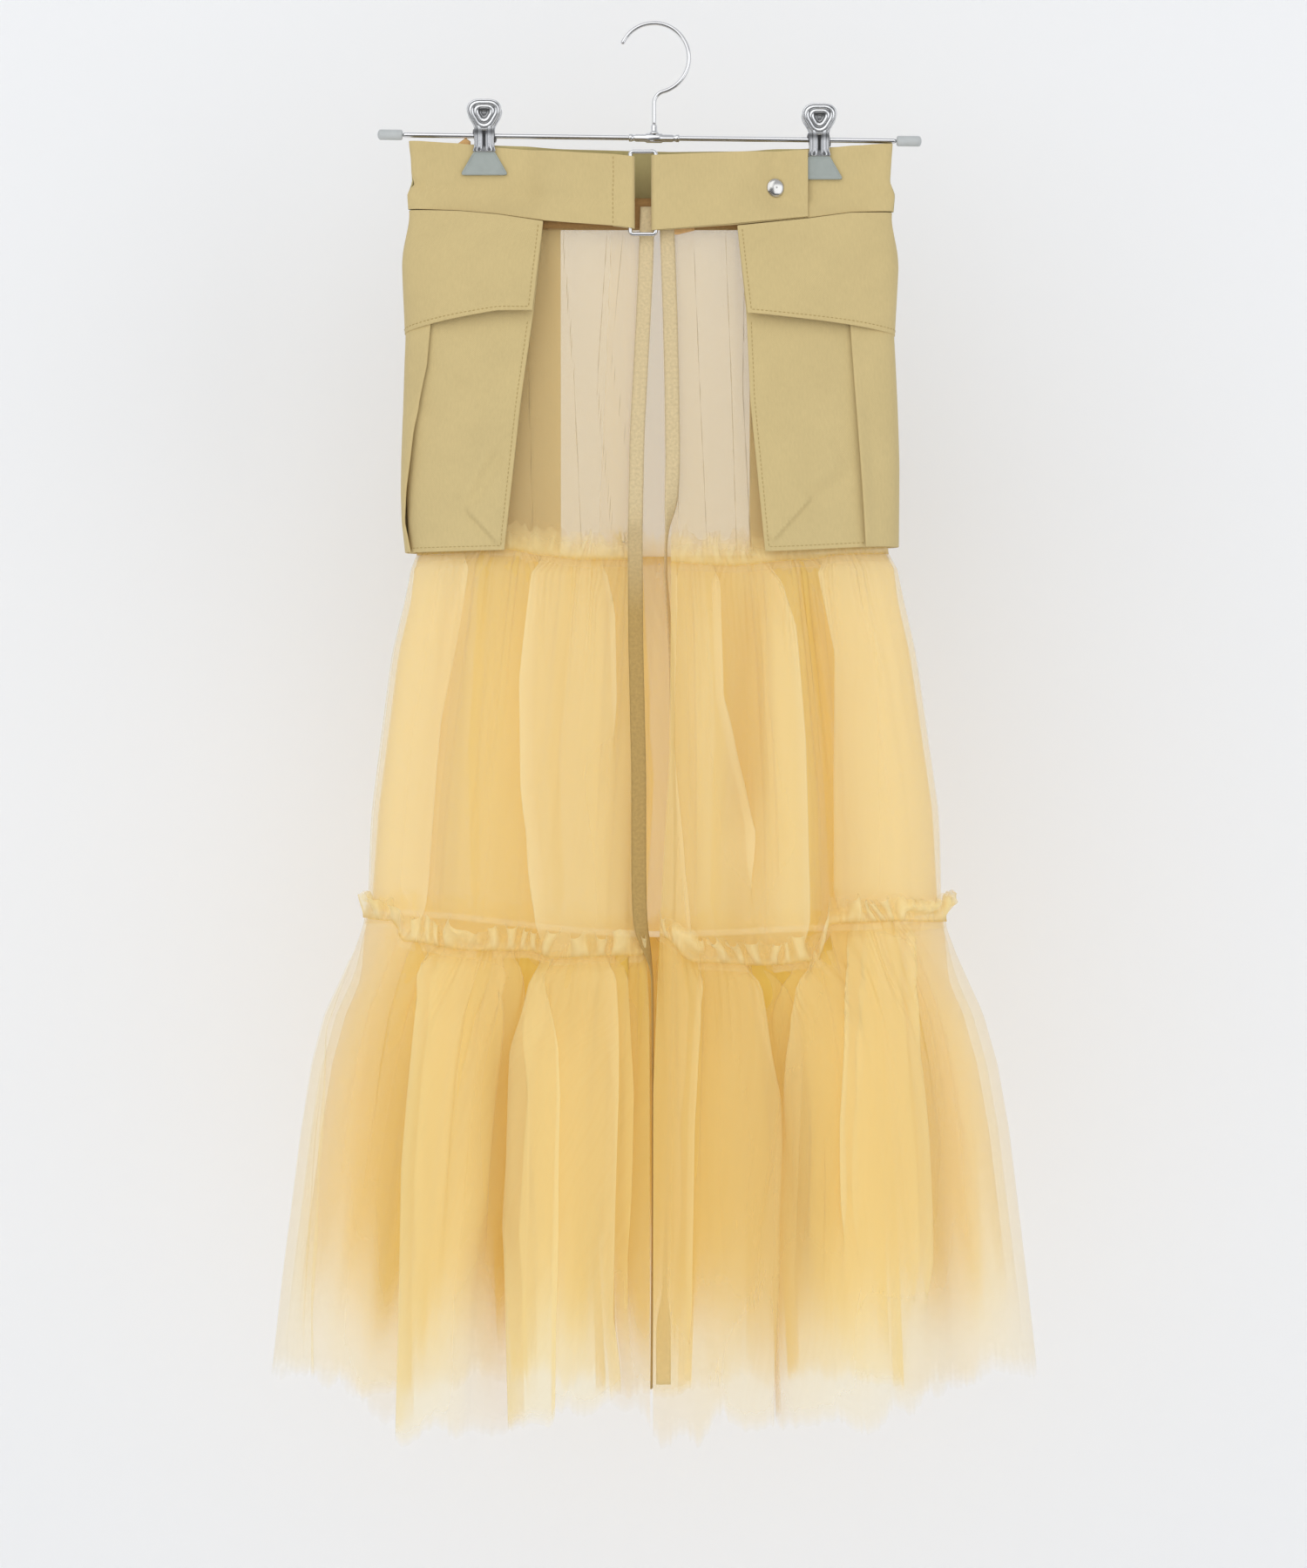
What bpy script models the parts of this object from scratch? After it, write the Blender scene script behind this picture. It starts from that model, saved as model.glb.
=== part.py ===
"""A three-tier tulle skirt, open at the centre front, under a twill cargo belt, on a clip hanger.

Metres, +Z up, the front faces -Y. The origin is the inside top of the hanger's hook, where the
hook rests on whatever carries it. Run with blender --background --python part.py.

The cloth is worked out on two tubes, BELT and SKIRT. A place on a tube is a height z and a girth:
0 is the centre front, -1 the viewer's left side, 1 the right side and 2 the centre back, and the
count starts again after 4, so 3 is the left side too. `out` is the distance outwards of the tube.
"""
import math
from collections import namedtuple

import bmesh
import bpy
import numpy as np
from mathutils import Matrix, Vector

# ---- cloth
SEAM_GAP = 0.0003  # between pieces that are sewn edge to edge
LAYER_GAP = 0.0004  # between pieces that lie on each other
TULLE = 0.0011  # walls
TWILL = 0.0012
TAPE = 0.0012
TUCK = 0.006  # how far a tier's lower edge reaches behind the next tier
HEADING_HEIGHT = 0.013
HEADING_FLARE = 0.007
HEADING_WAVE = 0.30  # share of the flare that its gathers add and take by turns
HEADING_GAP = 0.0008  # the flare starts this much above the seam
HEADING_PRESSED = 0.12  # share of the flare that is left under the pocket panels
UNDER_LIFT = 0.0006  # between the outer and the under layer of a tier at its seam
UNDER_SPACE = 0.0045  # and how much more there is below it
CORNER = 2.6  # roundness of the tubes' corners: 2 is an ellipse, more is squarer
FLATNESS = 0.12  # depth over width that the girth is measured with

# A tube's half-widths to the left and right and half-depths to the front and back
Level = namedtuple("Level", "z left right front back")
BELT = [
    Level(-0.078, 0.1692, 0.1632, 0.0105, 0.0105),
    Level(-0.108, 0.1672, 0.1610, 0.0115, 0.0110),
    Level(-0.117, 0.1702, 0.1644, 0.0120, 0.0110),
    Level(-0.135, 0.1690, 0.1625, 0.0130, 0.0120),
    Level(-0.215, 0.1668, 0.1594, 0.0175, 0.0165),
    Level(-0.300, 0.1690, 0.1627, 0.0210, 0.0200),
    Level(-0.365, 0.1672, 0.1636, 0.0235, 0.0220),
]
SKIRT = [
    Level(-0.117, 0.1610, 0.1560, 0.0055, 0.0055),
    Level(-0.141, 0.1610, 0.1560, 0.0060, 0.0060),
    Level(-0.300, 0.1610, 0.1560, 0.0130, 0.0130),
    Level(-0.350, 0.1615, 0.1575, 0.0155, 0.0155),
    Level(-0.365, 0.1625, 0.1590, 0.0165, 0.0160),
    Level(-0.374, 0.1665, 0.1650, 0.0190, 0.0180),
    Level(-0.430, 0.1760, 0.1760, 0.0280, 0.0240),
    Level(-0.540, 0.1900, 0.1920, 0.0350, 0.0310),
    Level(-0.610, 0.1950, 0.1960, 0.0360, 0.0330),
    Level(-0.622, 0.1985, 0.1980, 0.0365, 0.0330),
    Level(-0.640, 0.2060, 0.2050, 0.0375, 0.0335),
    Level(-0.680, 0.2250, 0.2240, 0.0430, 0.0380),
    Level(-0.715, 0.2345, 0.2340, 0.0460, 0.0405),
    Level(-0.760, 0.2420, 0.2420, 0.0490, 0.0430),
    Level(-0.860, 0.2550, 0.2540, 0.0540, 0.0470),
    Level(-0.960, 0.2660, 0.2650, 0.0580, 0.0500),
]

# A crease of the tulle: heights it runs between, girth at each, half its width in girth, and how
# far it stands out (a ridge) or in (a trough)
Crease = namedtuple("Crease", "top bottom girth_top girth_bottom width out")
CREASES = [
    # middle tier, front from left to right
    Crease(-0.38, -0.66, -0.96, -0.96, 0.06, 0.004),
    Crease(-0.36, -0.64, -0.79, -0.80, 0.07, -0.009),
    Crease(-0.36, -0.67, -0.29, -0.24, 0.15, 0.008),
    Crease(-0.37, -0.66, 0.19, 0.20, 0.08, 0.006),
    Crease(-0.36, -0.57, 0.40, 0.30, 0.06, -0.006),
    Crease(-0.37, -0.66, 0.47, 0.46, 0.09, 0.007),
    Crease(-0.36, -0.67, 0.64, 0.60, 0.07, -0.011),
    Crease(-0.38, -0.68, 0.86, 0.84, 0.12, 0.006),
    # middle tier, back
    Crease(-0.37, -0.66, 1.22, 1.25, 0.09, -0.007),
    Crease(-0.37, -0.64, 1.47, 1.44, 0.10, 0.006),
    Crease(-0.36, -0.66, 1.68, 1.72, 0.08, -0.008),
    Crease(-0.37, -0.66, 2.02, 1.98, 0.13, 0.007),
    Crease(-0.37, -0.65, 2.34, 2.30, 0.08, -0.008),
    Crease(-0.37, -0.66, 2.58, 2.62, 0.11, 0.006),
    Crease(-0.36, -0.66, 2.80, 2.78, 0.07, -0.006),
    # bottom tier, front from left to right
    Crease(-0.65, -1.04, -0.80, -0.74, 0.09, -0.012),
    Crease(-0.65, -1.04, -0.60, -0.52, 0.09, 0.009),
    Crease(-0.65, -1.04, -0.44, -0.36, 0.05, -0.011),
    Crease(-0.65, -1.04, -0.27, -0.22, 0.10, 0.008),
    Crease(-0.65, -1.04, 0.18, 0.15, 0.12, 0.003),
    Crease(-0.65, -1.04, 0.375, 0.32, 0.045, -0.014),
    Crease(-0.65, -1.04, 0.60, 0.52, 0.12, 0.010),
    Crease(-0.65, -1.04, 0.84, 0.74, 0.06, -0.010),
    # bottom tier, back
    Crease(-0.65, -1.04, 1.16, 1.20, 0.08, -0.009),
    Crease(-0.65, -1.04, 1.38, 1.40, 0.10, 0.008),
    Crease(-0.65, -1.04, 1.62, 1.60, 0.07, -0.011),
    Crease(-0.65, -1.04, 1.86, 1.88, 0.11, 0.009),
    Crease(-0.65, -1.04, 2.10, 2.12, 0.06, -0.010),
    Crease(-0.65, -1.04, 2.36, 2.34, 0.12, 0.009),
    Crease(-0.65, -1.04, 2.66, 2.62, 0.07, -0.011),
    Crease(-0.65, -1.04, 2.86, 2.82, 0.08, 0.006),
]
CREASE_FADE = 0.22  # share of a crease's length that it takes to come and to go

# Heights along the skirt's seams and hems, by girth
Edge = namedtuple("Edge", "girth z")
UPPER_SEAM = [
    Edge(-1.00, -0.3640), Edge(-0.60, -0.3610), Edge(-0.45, -0.3650), Edge(-0.30, -0.3680),
    Edge(-0.05, -0.3680), Edge(0.05, -0.3700), Edge(0.30, -0.3720), Edge(0.60, -0.3680),
    Edge(0.80, -0.3640), Edge(1.00, -0.3630), Edge(2.00, -0.3650),
]
LOWER_SEAM = [
    Edge(-1.00, -0.6130), Edge(-0.89, -0.6150), Edge(-0.82, -0.6290), Edge(-0.60, -0.6350),
    Edge(-0.40, -0.6350), Edge(-0.33, -0.6400), Edge(-0.05, -0.6380), Edge(0.01, -0.6240),
    Edge(0.13, -0.6430), Edge(0.35, -0.6450), Edge(0.51, -0.6420), Edge(0.60, -0.6170),
    Edge(0.80, -0.6150), Edge(1.00, -0.6160), Edge(1.30, -0.6240), Edge(2.00, -0.6290),
]
HEM = [
    Edge(-1.00, -0.9290), Edge(-0.85, -0.9260), Edge(-0.66, -0.9590), Edge(-0.56, -0.9640),
    Edge(-0.36, -0.9600), Edge(-0.22, -0.9520), Edge(-0.10, -0.9350), Edge(-0.05, -0.9450),
    Edge(0.01, -0.9700), Edge(0.21, -0.9560), Edge(0.43, -0.9560), Edge(0.50, -0.9600),
    Edge(0.64, -0.9450), Edge(0.78, -0.9300), Edge(0.90, -0.9150), Edge(1.00, -0.9300),
    Edge(1.35, -0.9480), Edge(1.60, -0.9380), Edge(2.00, -0.9520), Edge(2.40, -0.9400),
    Edge(2.70, -0.9500),
]
UNDER_HEM_RISE = 0.085  # the bottom tier's under layer ends this much above the hem

# The two edges of the opening at the centre front
Opening = namedtuple("Opening", "z left right")
OPENING = [
    Opening(-0.141, -0.0054, 0.0078),
    Opening(-0.250, -0.0080, 0.0112),
    Opening(-0.352, -0.0100, 0.0110),
    Opening(-0.500, -0.0090, 0.0100),
    Opening(-0.625, -0.0066, 0.0030),
    Opening(-0.680, -0.0040, 0.0010),
    Opening(-0.970, -0.0035, 0.0005),
]

# ---- belt
BAND_PINCH = 0.00165  # the waistband's half-depth under the clips
INNER_SQUEEZE = 0.92  # share of the inner waistband's depth that the pinch takes
CLIP_X = {"left": -0.1176, "right": 0.1128}
PINCH_HALF = 0.026  # half the length that is pinched flat
PINCH_WIDTH = 0.016  # how fast the band opens again beside it
PINCH_TOP = -0.117  # the pinch is whole down to here, under the pads
PINCH_FLOOR = -0.140  # and has gone at this height
BUCKLE_DEPTH = 0.0145  # how far the ring lies in front of the middle of the waist
WIRE = 0.0015  # half-thickness of the ring's wire
TURN = WIRE + LAYER_GAP + TWILL / 2  # radius that the band turns round a bar with
BUCKLE_BARS = (-0.0171, 0.0003)
BUCKLE_TOP = -0.0892
BUCKLE_BOTTOM = -0.1458
TURN_COLUMNS = 6  # columns of a band round a bar of the ring
BAND_BLEND = 0.050  # over this length the band leaves the tube for the ring
LEFT_RETURN = -0.0290  # the folded end comes back to this stitch line
STRAP_SLACK = 0.0003
STRAP_SETTLES = 0.055  # from here on the strap end lies on the band
TAB_END = 0.1050
SNAP_X = 0.0822
SNAP_Z = -0.1116
SNAP_RADIUS = 0.0064
SNAP_LIFT = 0.0006

# Waistband edges by place across the front; the back has its own straight ones
BandEdge = namedtuple("BandEdge", "x top bottom")
LEFT_BAND = [
    BandEdge(-0.1700, -0.0798, -0.1268), BandEdge(-0.1344, -0.0816, -0.1284),
    BandEdge(-0.1080, -0.0846, -0.1310), BandEdge(-0.0768, -0.0872, -0.1358),
    BandEdge(-0.0270, -0.0912, -0.1402), BandEdge(-0.0144, -0.0928, -0.1420),
]
RIGHT_BAND = [
    BandEdge(0.0000, -0.0925, -0.1430), BandEdge(0.0552, -0.0895, -0.1390),
    BandEdge(0.1050, -0.0860, -0.1338), BandEdge(0.1338, -0.0832, -0.1296),
    BandEdge(0.1650, -0.0816, -0.1284),
]
TAB_BAND = [
    BandEdge(-0.0040, -0.0918, -0.1434), BandEdge(0.0516, -0.0890, -0.1386),
    BandEdge(0.1050, -0.0864, -0.1332),
]
BACK_BAND = [
    BandEdge(-0.1700, -0.0798, -0.1268), BandEdge(-0.1080, -0.0828, -0.1300),
    BandEdge(0.0100, -0.0858, -0.1340), BandEdge(0.1000, -0.0850, -0.1310),
    BandEdge(0.1650, -0.0816, -0.1284),
]

# Pocket panels: the front edge, the free edge at the back and the pleat's two edges, by height
PanelEdge = namedtuple("PanelEdge", "z front pleat_front pleat_back back")
PANELS = {
    "left": [
        PanelEdge(-0.130, -0.0762, -0.1500, -0.1450, -0.0654),
        PanelEdge(-0.199, -0.0834, -0.1530, -0.1440, -0.0654),
        PanelEdge(-0.260, -0.0920, -0.1585, -0.1420, -0.0654),
        PanelEdge(-0.365, -0.1034, -0.1650, -0.1400, -0.0654),
    ],
    "right": [
        PanelEdge(-0.130, 0.0552, 0.1310, 0.1400, 0.0654),
        PanelEdge(-0.199, 0.0624, 0.1320, 0.1400, 0.0654),
        PanelEdge(-0.260, 0.0650, 0.1360, 0.1410, 0.0654),
        PanelEdge(-0.365, 0.0752, 0.1430, 0.1420, 0.0654),
    ],
}
PANEL_BOTTOM = {"left": (-0.3622, -0.3636), "right": (-0.3636, -0.3596)}  # front edge, side
FLAP_BOTTOM = {"left": (-0.1990, -0.2140), "right": (-0.2010, -0.2150)}
POCKET_TOP = -0.172
BAG_PUFF = 0.0014  # the bag stands off its base panel in the middle
FLAP_LIFT = 0.0004  # the pleat's and the flap's own clearance over what they lie on
PANEL_GAP = 0.0008  # from the waistband's edge to the panels
PANEL_TUCK = 0.0012  # the panels come in under the waistband's edge
TUCK_REACH = 0.030

# ---- inner waistband, tapes and ribbons
INNER_TOP = -0.1200
INNER_BOTTOM = -0.1405
RIBBON = 0.0008
RIBBON_WIDTH = 0.010
Hang = namedtuple("Hang", "z x y turn")  # the ribbon's middle, and its turn from facing the front
LEFT_RIBBON = [
    Hang(-0.1260, -0.0052, -0.0076, 0.0), Hang(-0.1700, -0.0066, -0.0102, 0.0),
    Hang(-0.2150, -0.0088, -0.0124, 0.0), Hang(-0.2830, -0.0124, -0.0156, 0.0),
    Hang(-0.3450, -0.0136, -0.0200, 0.0), Hang(-0.3560, -0.0136, -0.0330, 0.0),
    Hang(-0.3750, -0.0136, -0.0395, 0.0), Hang(-0.4280, -0.0132, -0.0440, 0.0),
    Hang(-0.5150, -0.0112, -0.0520, 0.0), Hang(-0.5800, -0.0112, -0.0540, 4.0),
    Hang(-0.6130, -0.0096, -0.0535, 15.0), Hang(-0.6300, -0.0050, -0.0500, 50.0),
    Hang(-0.6500, -0.0022, -0.0420, 86.0), Hang(-0.7200, -0.0018, -0.0330, 88.0),
    Hang(-0.8200, -0.0020, -0.0330, 88.0), Hang(-0.9340, -0.0026, -0.0340, 84.0),
]
RIGHT_RIBBON = [
    Hang(-0.1260, 0.0076, -0.0076, 0.0), Hang(-0.2000, 0.0102, -0.0118, 0.0),
    Hang(-0.2490, 0.0114, -0.0142, 0.0), Hang(-0.3000, 0.0120, -0.0175, 0.0),
    Hang(-0.3280, 0.0090, -0.0215, 30.0), Hang(-0.3430, 0.0055, -0.0200, 70.0),
    Hang(-0.3600, 0.0050, -0.0110, 84.0), Hang(-0.3800, 0.0055, -0.0060, 80.0),
    Hang(-0.4300, 0.0110, -0.0050, 60.0),
    Hang(-0.5600, 0.0138, -0.0080, 50.0), Hang(-0.6600, 0.0120, -0.0110, 60.0),
    Hang(-0.8000, 0.0080, -0.0150, 50.0), Hang(-0.8900, 0.0060, -0.0160, 0.0),
    Hang(-0.9340, 0.0056, -0.0160, 0.0),
]
LOOP_WIDTH = 0.009
LOOP_TAPE = [  # stands up out of the waist beside the left clip
    Hang(-0.0790, -0.1320, 0.0, 0.0), Hang(-0.0980, -0.1310, 0.0, 0.0),
    Hang(-0.1192, -0.1300, 0.0, 0.0),
]
LOW_TAPE_WIDTH = 0.0085
LOW_TAPE = [Hang(-0.1300, 0.0180, -0.0078, 0.0), Hang(-0.1455, 0.0180, -0.0086, 0.0)]

# ---- hanger
HOOK_WIRE = 0.0015
HOOK_RADIUS = 0.0240  # to the middle of the wire
HOOK_TIP_ANGLE = 157.0
HOOK_END_ANGLE = -75.0
HOOK_STEP = 11.6  # degrees between points of the arc
STEM_X = -0.0008
ROD_RADIUS = 0.0018
ROD_Z = -0.0777  # at the stem
ROD_TILT = 0.0123  # fall for each metre across, the hanger hangs a little low on the right
ROD_LEFT = -0.1740
ROD_RIGHT = 0.1662
CAP_RADIUS = 0.0036
CAP_LENGTH = 0.0168
SLEEVE_RADIUS = 0.0027
SLEEVE_HALF = 0.0175
SOCKET_RADIUS = 0.0030
SOCKET_TOP = -0.0690
PLATE = 0.0008
PAD = 0.0022
PAD_TOP_HALF = 0.0074
PAD_BOTTOM_HALF = 0.0166
PAD_HEIGHT = 0.0156
PAD_INNER = BAND_PINCH + TWILL / 2 + SEAM_GAP  # the pads' inner faces
HANDLE_HALF = 0.0114
HANDLE_HEIGHT = 0.0200
NECK_HALF = 0.0071
BARREL_RADIUS = 0.0049
BARREL_HALF = 0.0084
PLATE_LEAN = math.radians(8.5)
CLIP_TOP = {"left": -0.0516, "right": -0.0546}
CLIP_HEIGHT = 0.0366  # of a plate above its pad

FINISHES = {  # colour, roughness, metallic
    "twill": ((0.62, 0.50, 0.21, 1.0), 0.9, 0.0),
    "tulle": ((0.84, 0.58, 0.20, 1.0), 0.9, 0.0),
    "sheer": ((0.74, 0.60, 0.38, 1.0), 0.9, 0.0),
    "ribbon": ((0.55, 0.44, 0.18, 1.0), 0.8, 0.0),
    "tape": ((0.55, 0.34, 0.14, 1.0), 0.8, 0.0),
    "chrome": ((0.80, 0.80, 0.80, 1.0), 0.12, 1.0),
    "vinyl": ((0.36, 0.43, 0.40, 1.0), 0.5, 0.0),
    "grey_rubber": ((0.50, 0.52, 0.52, 1.0), 0.6, 0.0),
}
SIDES = {"left": -1.0, "right": 1.0}


# ---- scene helpers
def clear_scene():
    for old in list(bpy.data.objects):
        bpy.data.objects.remove(old, do_unlink=True)
    model = bpy.data.collections.new("tulle_skirt_on_hanger")
    bpy.context.scene.collection.children.link(model)
    return model


def finish(name, kind):
    """A node's own material, of one of the FINISHES."""
    colour, roughness, metallic = FINISHES[kind]
    material = bpy.data.materials.new(name + "_" + kind)
    material.use_nodes = True
    shader = material.node_tree.nodes["Principled BSDF"]
    shader.inputs["Base Color"].default_value = colour
    shader.inputs["Roughness"].default_value = roughness
    shader.inputs["Metallic"].default_value = metallic
    return material


def add_object(name, data, kind):
    data.materials.append(finish(name, kind))
    thing = bpy.data.objects.new(name, data)
    MODEL.objects.link(thing)
    return thing


def mesh_object(name, mesh_builder, kind):
    mesh = bpy.data.meshes.new(name)
    mesh_builder.normal_update()
    mesh_builder.to_mesh(mesh)
    mesh_builder.free()
    mesh.shade_smooth()
    mesh.set_sharp_from_angle(angle=math.radians(35))
    return add_object(name, mesh, kind)


def wall(name, grid, thickness, kind):
    """An open grid of points, rows by columns by xyz, given a thickness half to each side."""
    rows, columns = grid.shape[:2]
    builder = bmesh.new()
    corners = [builder.verts.new(point) for point in grid.reshape(-1, 3)]
    for row in range(rows - 1):
        for column in range(columns - 1):
            first = row * columns + column
            below = first + columns
            builder.faces.new([corners[i] for i in (first, below, below + 1, first + 1)])
    thing = mesh_object(name, builder, kind)
    shell = thing.modifiers.new("wall", "SOLIDIFY")
    shell.thickness = thickness
    shell.offset = 0.0
    return thing


# ---- the two tubes
def unit_quarter(count=400):
    """A quarter of the tubes' unit outline by length: shares of its run, and x and y there."""
    angle = np.linspace(0.0, math.pi / 2, count)
    x = np.sin(angle) ** (2 / CORNER)
    y = np.cos(angle) ** (2 / CORNER)
    steps = np.hypot(np.diff(x), FLATNESS * np.diff(y))
    run = np.concatenate([[0.0], np.cumsum(steps)])
    return run / run[-1], x, y


RUN, RUN_X, RUN_Y = unit_quarter()


def half_sizes(tube, z):
    levels = sorted(tube, key=lambda level: level.z)
    heights = [level.z for level in levels]
    sides = zip(*[(level.left, level.right, level.front, level.back) for level in levels])
    return [np.interp(z, heights, side) for side in sides]


def smooth_step(share):
    share = np.clip(share, 0.0, 1.0)
    return share * share * (3.0 - 2.0 * share)


def girth_at(tube, z, x, back=False):
    """The girth of the place x across the front, or across the back."""
    left, right, _, _ = half_sizes(tube, z)
    share = np.clip(np.abs(x) / np.where(x < 0, left, right), 0.0, 1.0)
    turn = np.interp(share, RUN_X, RUN)
    turn = 2.0 - turn if back else turn
    return np.where(x < 0, -turn, turn)


def on_tube(tube, girth, z, out):
    """Points at a girth and height, moved out by `out`."""
    around = (girth + 2.0) % 4.0 - 2.0
    left, right, front, back = half_sizes(tube, z)
    turn = np.abs(around)
    quarter = np.where(turn < 1.0, turn, 2.0 - turn)
    width = np.where(around < 0, left, right)
    depth = np.where(turn < 1.0, front, back)
    share_x = np.interp(quarter, RUN, RUN_X)
    share_y = np.interp(quarter, RUN, RUN_Y)
    side = np.where(around < 0, -1.0, 1.0)
    face = np.where(turn < 1.0, -1.0, 1.0)
    slope_x = share_x ** (CORNER - 1.0) / width
    slope_y = share_y ** (CORNER - 1.0) / depth
    length = np.hypot(slope_x, slope_y)
    x = side * (width * share_x + out * slope_x / length)
    y = face * (depth * share_y + out * slope_y / length)
    return np.stack([x, y, z], axis=-1)


def by_girth(edges, girth):
    """The height of a seam or hem at each girth, eased between its named places."""
    places = np.array([edge.girth for edge in edges] + [edges[0].girth + 4.0])
    heights = np.array([edge.z for edge in edges] + [edges[0].z])
    around = (girth - places[0]) % 4.0 + places[0]
    after = np.clip(np.searchsorted(places, around, side="right"), 1, len(places) - 1)
    share = smooth_step((around - places[after - 1]) / (places[after] - places[after - 1]))
    return heights[after - 1] + (heights[after] - heights[after - 1]) * share


def relief(girth, z):
    """How far the tulle's creases push it out at each place."""
    push = np.zeros(np.broadcast(girth, z).shape)
    for crease in CREASES:
        drop = (crease.top - z) / (crease.top - crease.bottom)
        middle = crease.girth_top + (crease.girth_bottom - crease.girth_top) * drop
        away = (girth - middle + 2.0) % 4.0 - 2.0
        fade = smooth_step(drop / CREASE_FADE) * smooth_step((1.0 - drop) / CREASE_FADE)
        push += crease.out * np.exp(-((away / crease.width) ** 2)) * fade
    return push


def line_between(above, below, share):
    """The line this share of the way down from one line to another."""
    return lambda girth: above(girth) + (below(girth) - above(girth)) * share


def patch(lines, edges, counts, crowding=0.0):
    """Girths and heights of a grid. Lines are its rows, functions of girth that give a height;
    edges are some of its columns, functions of height that give a girth, with counts columns
    from each to the next, crowded towards the last edge."""
    steps = [np.linspace(0.0, 1.0, count + 1)[:-1] for count in counts]
    steps = [share + crowding * (np.sin(share * math.pi / 2) - share) for share in steps]
    z = np.stack([line(np.zeros(sum(counts) + 1)) for line in lines])
    for _ in range(4):  # the edges lean, so girth and height settle together
        parts = []
        for edge, following, share in zip(edges, edges[1:], steps):
            place = slice(sum(len(p[0]) for p in parts), sum(len(p[0]) for p in parts) + len(share))
            first, last = edge(z[:, place]), following(z[:, place])
            parts.append(first + (last - first) * share[None, :])
        parts.append(edges[-1](z[:, -1:]))
        girth = np.concatenate(parts, axis=1)
        z = np.stack([line(girth[row]) for row, line in enumerate(lines)])
    return girth, z


# ---- skirt
def opening_edge(side):
    def girth(z):
        rows = sorted(OPENING, key=lambda row: row.z)
        x = np.interp(z, [row.z for row in rows], [getattr(row, side) for row in rows])
        return girth_at(SKIRT, z, x)
    return girth


SIDE_SPACE = 0.0006  # from the side seams to the cloth on either side of them
FRONT_COLUMNS = 13
BACK_COLUMNS = 10  # from a side to the centre back
CROWDING = 0.6  # how much closer the columns lie at the sides, where the cloth turns


def fixed(girth):
    return lambda z: girth + 0 * z


def side_gap(tube, z):
    """The girth that SIDE_SPACE takes up at a tube's side."""
    return SIDE_SPACE * FLATNESS / half_sizes(tube, z)[2]


SKIRT_PARTS = {  # the edges of each part of a tier, and the columns between them
    "left": ((opening_edge("left"), lambda z: -1.0 + side_gap(SKIRT, z)), (FRONT_COLUMNS,)),
    "back": ((fixed(2.0), lambda z: 3.0 - side_gap(SKIRT, z)), (BACK_COLUMNS,)),
    "right": ((opening_edge("right"), lambda z: 1.0 - side_gap(SKIRT, z)), (FRONT_COLUMNS,)),
}


def skirt_grid(part, lines):
    edges, counts = SKIRT_PARTS[part]
    girth, z = patch(lines, edges, counts, CROWDING)
    if part == "back":  # its other half is the same columns from the centre to the right side
        mirrored = 4.0 - girth[:, :0:-1]
        girth = np.concatenate([mirrored, girth], axis=1)
        z = np.stack([line(girth[row]) for row, line in enumerate(lines)])
    if part == "left":
        girth, z = girth[:, ::-1], z[:, ::-1]
    return girth, z


def tulle(name, part, lines, out, kind="tulle"):
    """One part of a tier down its lines: `out` is a function of girth and height."""
    girth, z = skirt_grid(part, lines)
    push = out(girth, z) + relief(girth, z)
    wall(name + "_" + part, on_tube(SKIRT, girth, z, push), TULLE, kind)


def upper_seam(girth):
    return by_girth(UPPER_SEAM, girth)


def lower_seam(girth):
    return by_girth(LOWER_SEAM, girth)


def hem(girth):
    return by_girth(HEM, girth)


def moved(line, rise):
    """A line a fixed distance above another."""
    return lambda girth: line(girth) + rise


def pressed(girth):
    """1 where the pocket panels lie over the heading, 0 where it is free."""
    turn = np.abs((girth + 2.0) % 4.0 - 2.0)
    return smooth_step((turn - 0.38) / 0.08) * smooth_step((1.70 - turn) / 0.08)


def heading(name, part, seam, out, free_all_round):
    """The gathered cloth's own top edge: it flares out above the seam, in and out by turns."""
    def flare(girth, z):
        rise = np.clip((z - seam(girth)) / HEADING_HEIGHT, 0.0, 1.0)
        waves = HEADING_WAVE * np.where(np.arange(girth.shape[1]) % 2, 1.0, -1.0)[None, :]
        room = 1.0 if free_all_round else 1.0 - (1.0 - HEADING_PRESSED) * pressed(girth)
        return out + HEADING_FLARE * rise * (1.0 + waves) * room
    tulle(name, part, [moved(seam, HEADING_HEIGHT), moved(seam, HEADING_GAP)], flare)


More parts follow.
